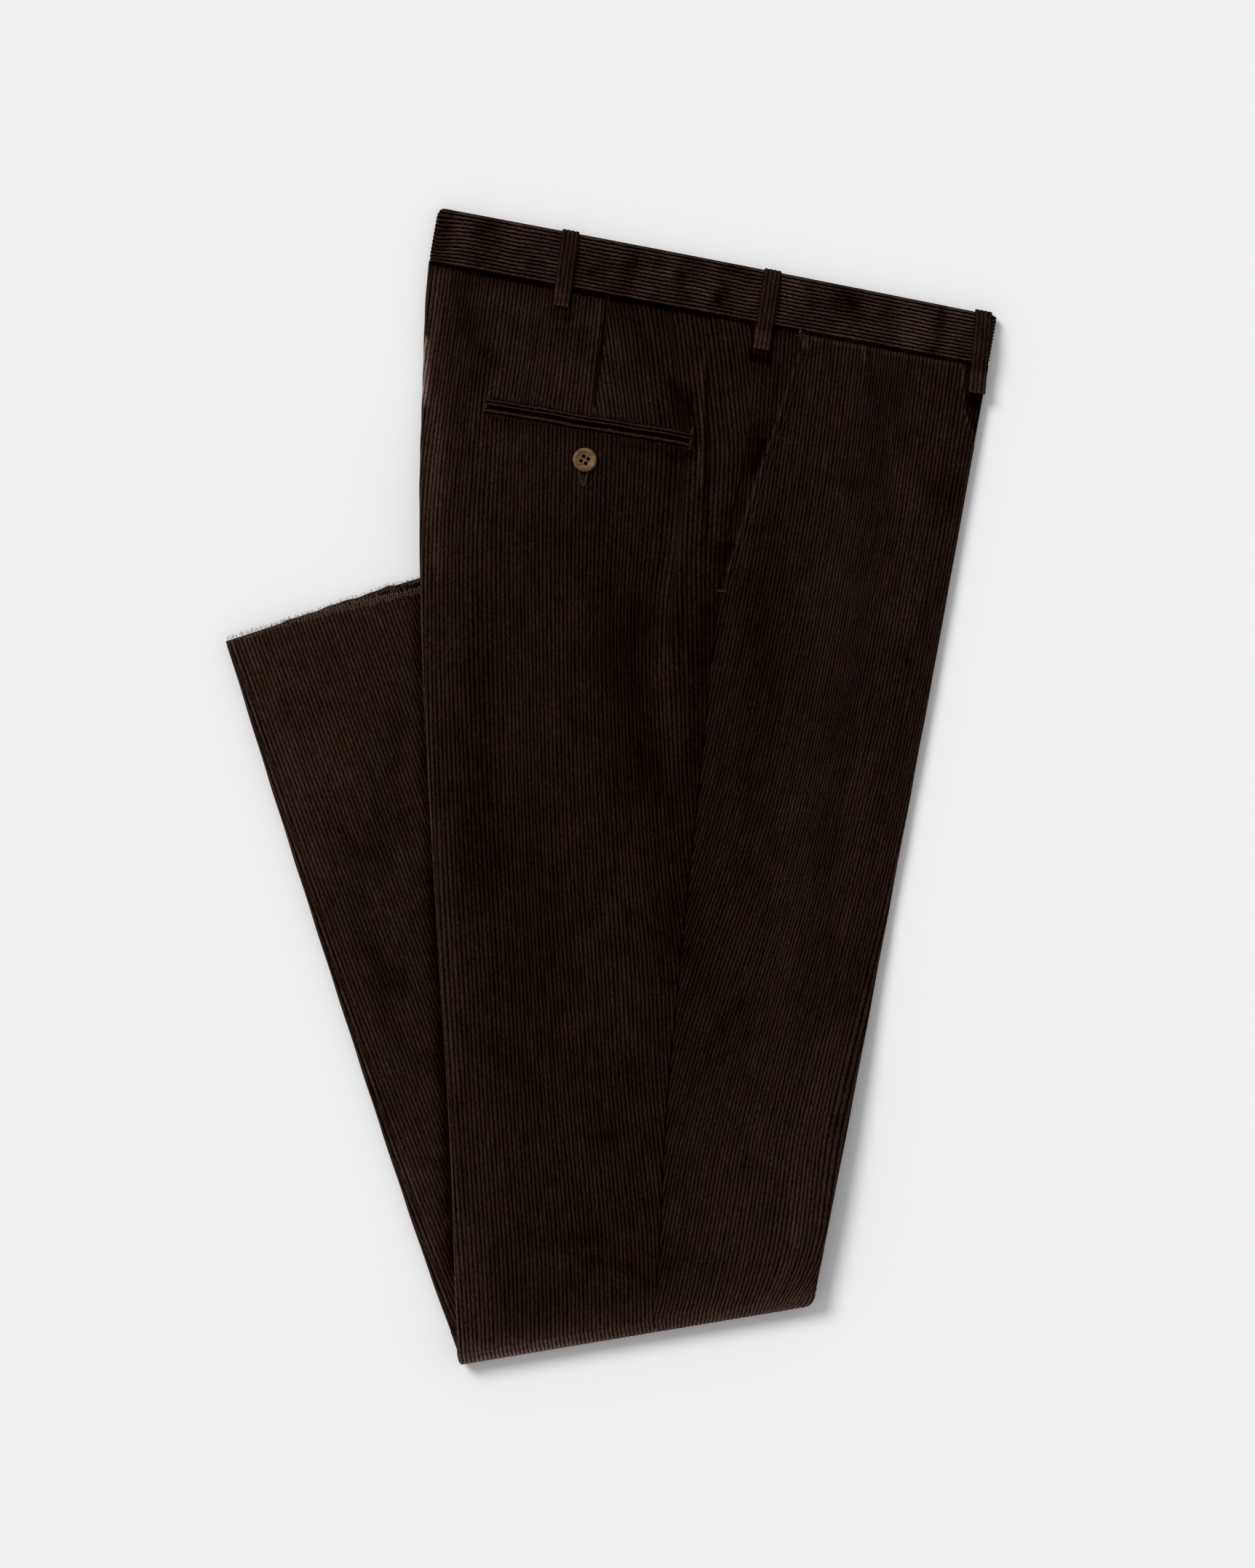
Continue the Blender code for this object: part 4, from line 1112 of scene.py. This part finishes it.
band = {
    "top": [(-108.6, 361.6), (241.1, 293.6)],
    "seam": [(-114.4, 328.5), (235.7, 263.2)],
    "wall": 4.0, "high": 9.0, "wales": 14, "relief": 0.8,
    # along, height, half width
    "kinks": [(52, 1.1, 10), (107, 0.7, 8), (166, -0.8, 9), (198, 0.9, 7), (232, 0.8, 8), (268, -0.7, 10),
              (318, 0.9, 9)],
    "dip": 3.2,  # the ribs bend down at the back fold
    "corner": (1.2, 5, 9),  # rounding at the top of the back fold, over how much down and along
    "bow": (0.6, 1.3),  # the top edge's rise, at its ends and halfway
    "seamRoll": (0.7, 2.0),  # how far it sinks at its seam, half width
    "cells": (110, 8, 30),  # along the top, round a fold and along the underside
    "bend": 0.55, "sink": 0.45,  # shares of a kink's height, along the cloth and into it
    # painted shade and light of the band's creases: along, share of the way down, share added, half sizes
    "marks": [(4, 0.5, -0.35, 6, 9), (14, 0.3, 0.25, 6, 0.4), (30, 0.5, -0.25, 8, 0.6),
              (47, 0.4, 0.3, 6, 0.4), (90, 0.5, -0.2, 10, 0.5), (124, 0.5, -0.3, 5, 0.8),
              (136, 0.75, 0.35, 5, 0.35), (148, 0.35, 0.4, 5, 0.5), (158, 0.5, -0.3, 5, 0.8),
              (175, 0.6, 0.4, 6, 0.5), (184, 0.7, -0.3, 7, 0.4), (228, 0.25, 0.4, 8, 0.35),
              (240, 0.6, -0.2, 6, 0.5), (258, 0.35, -0.3, 14, 0.4), (306, 0.5, 0.4, 12, 0.5),
              (325, 0.5, -0.45, 3, 0.9), (334, 0.5, 0.35, 4, 0.8), (115, 0.5, -0.16, 18, 0.8),
              (188, 0.5, -0.2, 14, 0.8), (266, 0.2, -0.16, 14, 0.5), (160, 0.5, -0.08, 30, 0.9),
              (318, 0.5, 0.22, 10, 0.7), (8, 0.85, 0.35, 8, 0.3)],
}
bandTop, bandSeam = np.array(band["top"]), np.array(band["seam"])
bandWide = float(np.linalg.norm(bandTop[1] - bandTop[0]))
bandDeep = float(np.linalg.norm(bandTop[0] - bandSeam[0]))


def bandPlan(e, v):
    a, b = (mix(bandTop[k], bandSeam[k], v[..., None]) for k in (0, 1))
    along = (b - a) / np.linalg.norm(b - a, axis=-1)[..., None]
    rise = mix(*band["bow"], np.sin(np.clip(e / bandWide, 0, 1) * pi)) * (1 - v)
    return a + along * e[..., None] + np.stack([-along[..., 1], along[..., 0]], axis=-1) * rise[..., None]


def makeWaistband():
    radius, edge = band["high"] / 2, band["wall"] / 2
    numbers, shares = ribColumns(band["wales"])
    top, right, bottom, left = range(4)
    above, turn, under = band["cells"]
    path = [(top, k / above) for k in range(above + 1)]
    path += [(right, pi * k / turn) for k in range(1, turn)]
    path += [(bottom, k / under) for k in range(under + 1)]
    path += [(left, pi * k / turn) for k in range(1, turn + 1)]
    sides, u = np.array(path).T
    v = (numbers / band["wales"] * (1 - cloth["gap"] / bandDeep))[:, None] * np.ones(len(path))
    down = v * bandDeep
    sunk, half = band["seamRoll"]
    roll = edge - np.sqrt(np.maximum(edge ** 2 - np.maximum(edge - down, 0) ** 2, 0))
    roll = roll + sunk * peak(bandDeep - down, half)

    def point(depth, isOuter):
        r = radius - depth
        e = np.select([sides == top, sides == right, sides == bottom, sides == left],
                      [mix(radius, bandWide - radius, u), bandWide - radius + r * np.sin(u),
                       mix(bandWide - radius, radius, u), radius - r * np.sin(u)])
        drawn, overDown, overAlong = band["corner"]
        e = e + drawn * (1 - ease(down / overDown)) * (1 - ease(e / overAlong))
        z = np.select([sides == top, sides == right, sides == bottom, sides == left],
                      [band["high"] - depth, radius + r * np.cos(u), depth, radius - r * np.cos(u)])
        upper = (sides != bottom) * np.clip((z - radius) / radius, 0, 1) * np.sin(v * pi) * isOuter
        shift = sum(high * peak(e - at, half) for at, high, half in band["kinks"]) * band["bend"]
        shift = shift + band["dip"] * (1 - ease(e / 30)) ** 2
        lift = sum(-band["sink"] * high * peak(e - at - 3, half) for at, high, half in band["kinks"])
        lift = lift + 0.18 * np.sin(e / 13) * np.sin(v * 5 + e / 40)
        p = bandPlan(e, np.clip(v + shift * upper / bandDeep, 0, 1))
        return np.concatenate([p, (z + lift * upper)[..., None]], axis=-1) * mm

    outer = point(roll + band["relief"] * shares[:, None] * (sides != bottom), True)
    inner = point(band["wall"] - roll, False)
    along = np.select([sides == top, sides == bottom], [u * bandWide, (1 - u) * bandWide], 0)
    napshade = 1 + 1.3 * sum(share * peak(along - at, halfLong) * peak(v - low, halfHigh)
                        for at, low, share, halfLong, halfHigh in band["marks"])
    # painted highlights along the band's lower and upper edges
    napshade = napshade + 0.25 * peak(1 - v, 0.05) + 0.15 * peak(v, 0.06)
    lengths = np.arange(len(path)) * 3.1
    return clothShell("waistbandCloth", outer, inner, numbers[:, None], lengths, bandPile, napshade)


waistband = makeWaistband()
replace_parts(waistband, "waistband")
print("waistband", len(waistband.data.polygons))


# Belt loops

loops = {
    "width": 10.8, "thick": 2.2, "wales": 4, "relief": 0.4,
    "clear": 0.1,  # off the cloth, beyond the gap
    "bulge": [(7.0, 1.0), (16.0, 2.0), (26.0, 1.6)],  # from the top edge, how far it stands off
    "places": {  # x on the band's top edge, lower end
        "belt_loop_back": ("beltLoopBack", -25.5, (-31.6, 300.3)),
        "belt_loop_side": ("beltLoopSide", 100.7, (93.4, 273.3)),
        "belt_loop_front": ("beltLoopFront", 232.4, (227.9, 245.9)),
    },
}


def makeLoop(node):
    name, topX, end = loops["places"][node]
    side = (bandTop[1] - bandTop[0]) / bandWide
    a = bandTop[0] + side * ((topX - bandTop[0, 0]) / side[0])
    length = float(np.linalg.norm(end - a))
    along = (end - a) / length
    edge, seamAt = band["wall"] / 2, bandDeep + 1
    lift = [(edge, 0.3), *loops["bulge"], (seamAt, 0.8), (seamAt + 5, 0.7), (length, 1.5)]
    curl = np.linspace(pi / 2, 0, 7)[:-1]
    turn = np.concatenate([curl, np.zeros(34)])
    far = np.concatenate([edge - edge * np.sin(curl), np.linspace(edge, length, 34)])
    numbers, shares = ribColumns(loops["wales"])
    u = np.linspace(-0.5, 0.5, len(numbers))[:, None]

    def point(high, isOuter):
        r = edge + cloth["gap"] + loops["clear"] + high
        rounded = (0.75 * np.abs(2 * u) ** 6 + 0.35 * (2 * u) ** 2 + 0.9 * peak(length - far, 1.2)) * isOuter
        below = np.where(turn > 0, edge - r * np.sin(turn), far)
        p = a + along * below[..., None] + side * (u * loops["width"])[..., None]
        seat = mix(band["high"], thighZ(p, bundle["stack"]) + creaseHeight(p), ease((far - seamAt + 1) / 5))
        lying = seat + softCurve(lift, far) + loops["clear"] + high
        z = np.where(turn > 0, band["high"] - edge + r * np.cos(turn), lying) - rounded
        return np.concatenate([p, z[..., None]], axis=-1) * mm

    outer = point(loops["thick"] - loops["relief"] * shares[:, None] * np.ones(len(far)), True)
    inner = point(np.zeros((len(numbers), len(far))), False)
    # painted light growing towards the loop's lower end and brightest on its tip, painted shade at the
    # waistband's seam
    napshade = 0.9 + 0.6 * peak(length - 9 - far, 7) + 1.9 * peak(length - far, 1.4) - 0.3 * peak(far - seamAt, 3)
    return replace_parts(clothShell(name, outer, inner, numbers[:, None], far, loopPile, napshade), node)


beltLoops = [makeLoop(node) for node in loops["places"]]
print("belt loops", len(beltLoops[0].data.polygons))


# Back pocket

pocket = {
    "from": (-78.9, 237.3), "to": (49.8, 215.9),
    "welts": {  # from where to where above the mouth, and the wales
        "pocket_welt_upper": ("pocketWeltUpper", 0.7, 5.3, 2),
        "pocket_welt_lower": ("pocketWeltLower", -4.0, -0.7, 1),
    },
    "thick": 1.2, "relief": 0.5, "mouth": 1.4, "length": 130,
    "rows": 90,
}
pocketFrom, pocketTo = np.array(pocket["from"]), np.array(pocket["to"])
pocketSide = (pocketTo - pocketFrom) / np.linalg.norm(pocketTo - pocketFrom)
pocketUp = np.array([-pocketSide[1], pocketSide[0]])


def pocketPoint(t, over, rise):
    t, over = (np.asarray(given)[..., None] for given in (t, over))
    p = pocketFrom + (pocketTo - pocketFrom) * t + pocketUp * over
    return onThigh(p[..., 0], p[..., 1], rise)


def pocketBow(t):
    return 0.35 * np.sin(t * pi * 3) + 0.25 * np.sin(t * pi * 7 + 1)


def makeWelt(node):
    name, low, high, wales = pocket["welts"][node]
    numbers, shares = ribColumns(wales)
    v, t = np.meshgrid(numbers / wales, np.linspace(0, 1, pocket["rows"]), indexing="ij")
    bow = pocketBow(t)
    over = mix(high, low, v) + bow * 0.6
    sunk = 0.45 * np.abs(2 * v - 1) ** 4 + pocket["relief"] * shares[:, None]
    outer = pocketPoint(t, over, cloth["gap"] + pocket["thick"] - sunk + 0.2 * bow)
    inner = pocketPoint(t, over, cloth["gap"])
    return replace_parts(clothShell(name, outer, inner, numbers[:, None], t * pocket["length"], weltPile), node)


# A dark strip between the welts: painted shade in the pocket's mouth
def makePocketMouth():
    v, t = np.meshgrid(np.linspace(-1, 1, 3), np.linspace(0.004, 0.996, pocket["rows"]), indexing="ij")
    over = v * pocket["mouth"] + pocketBow(t) * 0.6
    outer, inner = (pocketPoint(t, over, rise) for rise in (0.25, 0.02))
    return clothShell("pocketMouth", outer, inner, v, t * pocket["length"], mouthShadeCloth)


# near-black material that paints the shade in the pocket's mouth
mouthShadeCloth = makePlain("pocket mouth painted shade", (0.0012, 0.0007, 0.0005), 0.95)
welts = [makeWelt(node) for node in pocket["welts"]]
pocketMouth = makePocketMouth()
print("welts", len(welts[0].data.polygons))


# Button

button = {
    "at": (-16.7, 203.5), "radius": 7.5, "thick": 3.0, "seat": 0.7, "hole": 1.15, "pitch": 3.25,
    "flare": 1.12,  # of a hole, towards the face
    # share of the radius and of the height
    "profile": [(0.0, 0.56), (0.45, 0.56), (0.56, 0.62), (0.64, 0.78), (0.74, 0.95), (0.84, 1.0),
                (0.93, 0.93), (0.985, 0.75), (1.0, 0.52), (0.95, 0.25), (0.85, 0.08), (0.7, 0.0), (0.0, 0.0)],
    "shade": {"pale": (0.170, 0.088, 0.034, 1), "dark": (0.060, 0.028, 0.011, 1)},
}


def buttonPlace():
    x, y = button["at"]
    seat = onThigh(x, y, button["seat"])
    side = onThigh(x + 5, y, 0) - onThigh(x - 5, y, 0)
    up = onThigh(x, y + 5, 0) - onThigh(x, y - 5, 0)
    normal = Vector(np.cross(side, up)).normalized()
    return Matrix.Translation(Vector(seat)) @ normal.to_track_quat("Z", "Y").to_matrix().to_4x4()


def hornMaterial():
    material, tree, shader = newMaterial("horn button")
    grain = tree.nodes.new("ShaderNodeMapping")
    where = tree.nodes.new("ShaderNodeTexCoord").outputs["Object"]
    feedAll(tree, grain, {"Vector": where, "Scale": (1, 4, 1)})
    streak = mapNode(tree, noiseNode(tree, grain.outputs["Vector"], 160, 4, 0.6), 0.35, 0.7, 0, 1)
    colour = mixColour(tree, streak, button["shade"]["pale"], button["shade"]["dark"])
    feedAll(tree, shader, {"Base Color": colour, "Roughness": 0.38, "Specular IOR Level": 0.2})
    return material


def makeButton():
    radius, thick = button["radius"] * mm, button["thick"] * mm
    bm = bmesh.new()
    verts = [bm.verts.new((r * radius, 0, h * thick)) for r, h in button["profile"]]
    edges = [bm.edges.new(pair) for pair in zip(verts, verts[1:])]
    bmesh.ops.spin(bm, geom=verts + edges, cent=(0, 0, 0), axis=(0, 0, 1), angle=2 * pi, steps=64,
                   use_merge=True)
    bmesh.ops.remove_doubles(bm, verts=bm.verts, dist=0.005 * mm)
    bmesh.ops.recalc_face_normals(bm, faces=bm.faces)
    disc = addObject("buttonDisc", meshOf("buttonDisc", bm))
    cutter = bmesh.new()
    half, hole = button["pitch"] / 2 * mm, button["hole"] * mm
    flared = hole * button["flare"]
    for x, y in ((-half, -half), (-half, half), (half, -half), (half, half)):
        bmesh.ops.create_cone(cutter, cap_ends=True, segments=24, radius1=hole, radius2=flared,
                              depth=thick * 1.35, matrix=Matrix.Translation((x, y, thick / 3)))
    holes = addObject("buttonHoles", meshOf("buttonHoles", cutter))
    disc.modifiers.new("holes", "BOOLEAN").object = holes
    mesh = bakedMesh(disc)
    for spare in (disc, holes):
        bpy.data.objects.remove(spare)
    mesh.transform(buttonPlace())
    piece = newPiece("hornButton", mesh, hornMaterial())
    mesh.set_sharp_from_angle(angle=radians(40))
    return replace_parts(piece, "pocket_button")


hornButton = makeButton()
print("button", len(hornButton.data.polygons))


# Threads

threadLook = {  # colour, roughness
    "pale": ((0.040, 0.025, 0.019), 0.7), "brown": ((0.014, 0.008, 0.0055), 0.8),
    "overlock": ((0.125, 0.087, 0.067), 0.85), "tack": ((0.036, 0.023, 0.017), 0.7),
}
stitch = {
    "radius": 0.1, "overlockDeep": 3.6, "overlockStep": 2.0,
    "top": {"length": 2.6, "gap": 0.7, "inset": 5.6, "radius": 0.22, "rise": 0.1},
    "tackRadius": 0.2, "tackStep": 0.55, "tackWide": 1.7,
    "pocketTacks": [((-75.7, 247.3), (-79.3, 234.1)), ((50.7, 224.5), (48.9, 211.4))],
    "slashTack": ((66.5, 122.4), (71.5, 122.0), 1.2, 0.6),
    "loose": ((118, 282), 9, 4.5, 0.3),  # place, number, reach, height
    "toothRadius": 0.36, "toothStep": 2.3,
    "teeth": [(5.7, 1.4), (-4.3, -1.3)],  # above the pocket's mouth, reach
    "holeStep": 0.6,
    # its two sides, and half the length of a stitch, below 0 on the right
    "buttonhole": [((-20.6, 196.0), (-17.8, 187.4), 0.9), ((-14.8, 196.0), (-17.2, 187.4), -0.9)],
}
wild = np.random.default_rng(11)


def makeThreads(name, paths, radius, material):
    curve = bpy.data.curves.new(name, "CURVE")
    curve.dimensions = "3D"
    curve.bevel_depth = radius * mm
    curve.bevel_resolution = 1
    curve.use_fill_caps = True
    for path in paths:
        spline = curve.splines.new("POLY")
        spline.points.add(len(path) - 1)
        spline.points.foreach_set("co", np.concatenate([path, np.ones((len(path), 1))], axis=1).ravel())
    made = addObject(name + "Curve", curve)
    mesh = bakedMesh(made)
    bpy.data.objects.remove(made)
    mesh.name = name
    return newPiece(name, mesh, material)


def overlockPaths(edge, first, last):
    lines = []
    deep, step = stitch["overlockDeep"], stitch["overlockStep"]
    for d in np.arange(first, last, step):
        slip = wild.uniform(-0.6, 0.6, 4)
        drawn = deep * wild.uniform(0.6, 1.15)
        lines.append([(d + slip[0], drawn, 0.30), (d + 0.5 + slip[1] * 0.6, drawn * 0.5, 0.42),
                      (d + 0.9 + slip[2], 0.2, 0.32), (d + 1.0 + slip[2], -0.35, -0.35),
                      (d + 1.1 + slip[2], -0.1, -1.3)])
        lines.append([(d + 0.9 + slip[2], 0.1, 0.30), (d + 1.2 + slip[3], drawn * 0.55, 0.40),
                      (d + step + slip[1], drawn, 0.28)])
        for _ in range(2):
            turn, reach = wild.uniform(-1.2, 1.2), wild.uniform(0.7, 2.2)
            start = d + wild.uniform(0, step)
            lines.append([(start, 0.5, 0.2), (start + turn * 0.4, -reach * 0.4, 0.1),
                          (start + turn, -reach, -0.4)])
    return [np.array([edge(*spot) for spot in line]) for line in lines]


def topHemEdge(d, inside, rise):
    station = hemStation(d) - inside / shinLength
    return shinSurface(d, station, 0.12, d < seams["shin"]) + (0, 0, rise * mm)


def underHemEdge(table, height):
    def edge(d, inside, rise):
        station = hemEnd(d, table) - inside / shinLength
        return place(d, station, height + 0.1) + (0, 0, rise * mm)
    return edge


def alongLine(points, step):
    points = np.array(points, float)
    lengths = np.concatenate([[0], np.cumsum(np.linalg.norm(np.diff(points, axis=0), axis=1))])
    at = np.arange(0, lengths[-1], step)
    return np.stack([np.interp(at, lengths, points[:, 0]), np.interp(at, lengths, points[:, 1])], axis=-1)


def overThigh(spots, rises):
    return np.array([onThigh(x, y, rise) for (x, y), rise in zip(spots, rises)])


def bartack(a, b, wide, step):
    a, b = np.array(a, float), np.array(b, float)
    along = (b - a) / np.linalg.norm(b - a)
    side = np.array([-along[1], along[0]])
    paths = []
    for p in alongLine([a, b], step):
        slip = wild.uniform(-0.15, 0.15)
        near = p + side * (wide / 2 + slip)
        far = p - side * (wide / 2 - slip) + along * step * 0.5
        paths.append(overThigh([near, p + along * step * 0.25, far], (0.55, 1.0, 0.55)))
    return paths


def runningStitches(line, length, gap, rise):
    fine = 0.1
    points = alongLine(line, fine)
    paths = []
    for n in range(int(len(points) * fine / (length + gap))):
        start = int(n * (length + gap) / fine)
        q = [points[min(start + int(length / fine * k / 4), len(points) - 1)] for k in range(5)]
        shift = (wild.uniform(-0.15, 0.15), 0)
        paths.append(overThigh(np.array(q) + shift, rise + np.array([-0.1, 0.22, 0.3, 0.22, -0.1])))
    return paths


def slashLine(inset):
    stations = np.linspace(0.004, seams["tack"] - 0.004, 60)
    xs = slashX(stations)
    left, right = rowEnds(stations)
    ys = left[:, 1] + (xs - left[:, 0]) * (right - left)[:, 1] / (right - left)[:, 0]
    return [(x + inset, y) for x, y in zip(xs, ys)]


def looseThreads(at, count, reach, rise):
    paths = []
    for _ in range(count):
        turn = wild.uniform(0, 2 * pi)
        long = reach * wild.uniform(0.5, 1)
        bend = wild.uniform(-0.8, 0.8)
        q = [(at[0] + long * k * cos(turn + bend * k), at[1] + long * k * sin(turn + bend * k))
             for k in (0, 0.35, 0.7, 1)]
        paths.append(overThigh(q, rise + np.array([0.2, 0.9, 1.0, 0.6])))
    return paths


def makeStitching():
    pale, brown, light, tackThread = (makePlain(kind + " thread", *look) for kind, look in threadLook.items())
    hems = [("overlockTop", topHemEdge, 1.0, 150),
            ("overlockSecond", underHemEdge(hem["second"], underPanel), 22, 112),
            ("overlockFar", underHemEdge(hem["far"], tubeTop + cloth["gap"]), 106, 150)]
    made = [makeThreads(name, overlockPaths(edge, first, last), stitch["radius"], light)
            for name, edge, first, last in hems]
    tacks = []
    for a, b in stitch["pocketTacks"]:
        tacks += bartack(a, b, stitch["tackWide"], stitch["tackStep"])
    made.append(makeThreads("pocketTacks", tacks, stitch["tackRadius"], tackThread))
    top = stitch["top"]
    sewn = runningStitches(slashLine(top["inset"]), top["length"], top["gap"], top["rise"])
    sewn += bartack(*stitch["slashTack"]) + looseThreads(*stitch["loose"])
    made.append(makeThreads("slashStitching", sewn, top["radius"], pale))
    teeth = []
    for t in np.arange(0.012, 0.99, stitch["toothStep"] / pocket["length"]):
        for over, reach in stitch["teeth"]:
            slip = wild.uniform(-0.2, 0.2) / pocket["length"]
            teeth.append(np.array([pocketPoint(t + slip, over + reach * k, 0.15 + up)
                                   for k, up in ((0, 0.0), (0.35, 0.35), (1, -0.2))]))
    made.append(makeThreads("pocketTeeth", teeth, stitch["toothRadius"], brown))
    sides = []
    for a, b, half in stitch["buttonhole"]:
        for x, y in alongLine([a, b], stitch["holeStep"]):
            spots = sorted([(x - half, y), (x, y + 0.15), (x + half, y - 0.1)])
            sides.append(overThigh(spots, (0.3, 0.75, 0.3)))
    made.append(makeThreads("buttonhole", sides, stitch["tackRadius"], pale))
    return made


stitching = makeStitching()
print("stitching", sum(len(piece.data.polygons) for piece in stitching))


# Hidden layers

core = {
    "cells": 44, "inset": 6.5, "end": 2.945,
    "trim": 3.0,  # the layers come up within this distance of the panel's end
    "thighRows": 50, "turnRows": 8, "shinRows": 40,
    "closed": (2.0135, 2.0285),  # stations between the thigh's cloth and the lower leg's
}


def ledge(low, high):
    return [(coreInset, mix(low, high, k / 8)) for k in range(9)]


def coreRing(station, split, innerBare, outerBare):
    low = cloth["gap"] / 2 if innerBare else underPanel
    high = bundle["stack"] if outerBare else bundle["stack"] - cloth["thick"] - cloth["slack"]
    near = lobe(low, tubeTop) if innerBare else ledge(low, tubeTop)
    far = lobe(tubeTop + cloth["gap"], bundle["stack"]) if outerBare else ledge(tubeTop, high)
    wide, cells, inset = float(width(station)), core["cells"], core["inset"]
    first = cells * 3 // 8
    ring = []
    for k in range(1, cells):
        if innerBare:
            ring.append((mix(inset, wide - inset, k / cells), low))
        elif k <= first:
            ring.append((mix(coreInset, split + core["trim"] / 2, k / first), low))
        else:
            share = (k - first - 1) / (cells - first - 1)
            ring.append((mix(split + core["trim"], wide - inset, share), cloth["gap"] / 2))
    ring += [(wide - e, h) for e, h in lobe(cloth["gap"] / 2, tubeTop) + far]
    ring += [(mix(wide - inset, inset, k / cells), high) for k in range(1, cells)]
    return np.array(ring + far[::-1] + near[::-1])


def makeHidden():
    thigh = np.concatenate([[0.0], np.linspace(0.02, 1, core["thighRows"]),
                            np.linspace(1, 2, core["turnRows"] + 1)[1:], [turnEnd]])
    lower = np.linspace(shin["from"], core["end"], core["shinRows"])
    rings = [(s, coreRing(s, 0, True, False)) for s in thigh]
    rings += [(s, coreRing(s, 0, True, True)) for s in core["closed"]]
    rings += [(s, coreRing(s, shinCut(s), False, True)) for s in lower]
    stations = np.array([s for s, _ in rings])[:, None]
    points = np.array([place(r[:, 0], s, r[:, 1]) for s, r in rings])
    points = np.concatenate([points, points[:, :1]], axis=1)  # closes each ring
    across = np.array([np.append(r[:, 0] + r[:, 1] * 0.6, r[0, 0]) for s, r in rings])
    wales = (across + stations * 20) / cloth["wale"]
    piece = clothShell("hiddenLayers", points, None, wales, stations * panelLength, hiddenPile)
    bm = bmesh.new()
    bm.from_mesh(piece.data)
    bmesh.ops.holes_fill(bm, edges=[e for e in bm.edges if e.is_boundary], sides=0)
    bmesh.ops.triangulate(bm, faces=[f for f in bm.faces if len(f.verts) > 4])
    bmesh.ops.recalc_face_normals(bm, faces=bm.faces)
    bm.to_mesh(piece.data)
    bm.free()
    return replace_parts(piece, "hidden_layers")


hiddenLayers = makeHidden()
print("hidden layers", len(hiddenLayers.data.polygons))


# What each piece of cloth was cut to: the flat piece's width and length, its area, what is under it and on it

def declareCloth():
    overlockTop, overlockSecond, overlockFar, tacks, slashStitching, teeth, buttonhole = stitching
    folded = [
        (rightBack, (0.210, 0.710), 0.118, ["hiddenLayers"], [pocketMouth, tacks, teeth, buttonhole]),
        (rightFront, (0.165, 0.650), 0.083, ["hiddenLayers"], [slashStitching]),
        (leftBack, (0.125, 0.470), 0.0435, ["hiddenLayers"], [overlockTop]),
        (hemFar, (0.420, 0.027), 0.0110, ["hiddenLayers"], [overlockFar]),
        (flyEnd, (0.023, 0.066), 0.0009, ["hiddenLayers"], []),
        (waistband, (0.034, 0.730), 0.0245, ["rightBackPanel", "rightFrontPanel"], []),
        (hiddenLayers, (0.430, 0.720), 0.300, [], []),
    ]
    folded += [(loop, (0.011, 0.056), 0.0006, ["waistbandCloth"], []) for loop in beltLoops]
    laid = [
        (leftFront, (0.043, 0.155), 0.0031, ["hiddenLayers"], []),
        (hemSecond, (0.193, 0.027), 0.0050, ["hiddenLayers"], [overlockSecond]),
        (sideFacing, (0.038, 0.177), 0.0029, ["hiddenLayers"], []),
        (welts[0], (0.010, 0.130), 0.0007, ["rightBackPanel"], []),
        (welts[1], (0.010, 0.130), 0.0005, ["rightBackPanel"], []),
    ]
    for held, pieces in (("folded", folded), ("laid", laid)):
        for piece, flat, area, under, carried in pieces:
            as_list(under)
            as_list(carried)


declareCloth()


# Floor, light and camera

studio = {
    "floor": 0.86, "floorSize": 6.0,
    "ambient": 0.52, "sun": 2.3, "sunAngle": 25, "sunFrom": (-0.75, 0.75, 1.0),
    "lens": 100, "sensor": 36, "aim": (10.0, 1.8, 7.0), "frameHeight": 2156 / 2.2,
}


def makeStudio():
    bm = bmesh.new()
    bmesh.ops.create_grid(bm, x_segments=1, y_segments=1, size=studio["floorSize"] / 2)
    floor = addObject("floor", meshOf("floor", bm))
    material, tree, shader = newMaterial("pale floor")
    colour = (*[studio["floor"]] * 3, 1)
    feedAll(tree, shader, {"Base Color": colour, "Roughness": 1.0, "Specular IOR Level": 0.0})
    floor.data.materials.append(material)
    world = bpy.data.worlds.new("studio")
    world.use_nodes = True
    background = world.node_tree.nodes["Background"]
    feedAll(world.node_tree, background, {"Color": (1, 1, 1, 1), "Strength": studio["ambient"]})
    bpy.context.scene.world = world
    light = bpy.data.lights.new("window", "SUN")
    light.energy = studio["sun"]
    light.angle = radians(studio["sunAngle"])
    lamp = addObject("window", light)
    lamp.rotation_euler = Vector(studio["sunFrom"]).to_track_quat("Z", "Y").to_euler()
    camera = bpy.data.cameras.new("camera")
    camera.lens = studio["lens"]
    camera.sensor_width = studio["sensor"]
    distance = studio["frameHeight"] * studio["lens"] / studio["sensor"] * mm
    eye = addObject("camera", camera)
    x, y, z = studio["aim"]
    eye.location = (x * mm, y * mm, z * mm + distance)
    bpy.context.scene.camera = eye
    bpy.context.scene.view_settings.view_transform = "Standard"


makeStudio()
print("studio ready")

counts = {}
for piece in bpy.context.scene.objects:
    if piece.type == "MESH" and piece.name != "floor":
        counts[piece.name] = sum(len(face.vertices) - 2 for face in piece.data.polygons)
print("triangles", sum(counts.values()), "most", max(counts, key=counts.get), max(counts.values()))
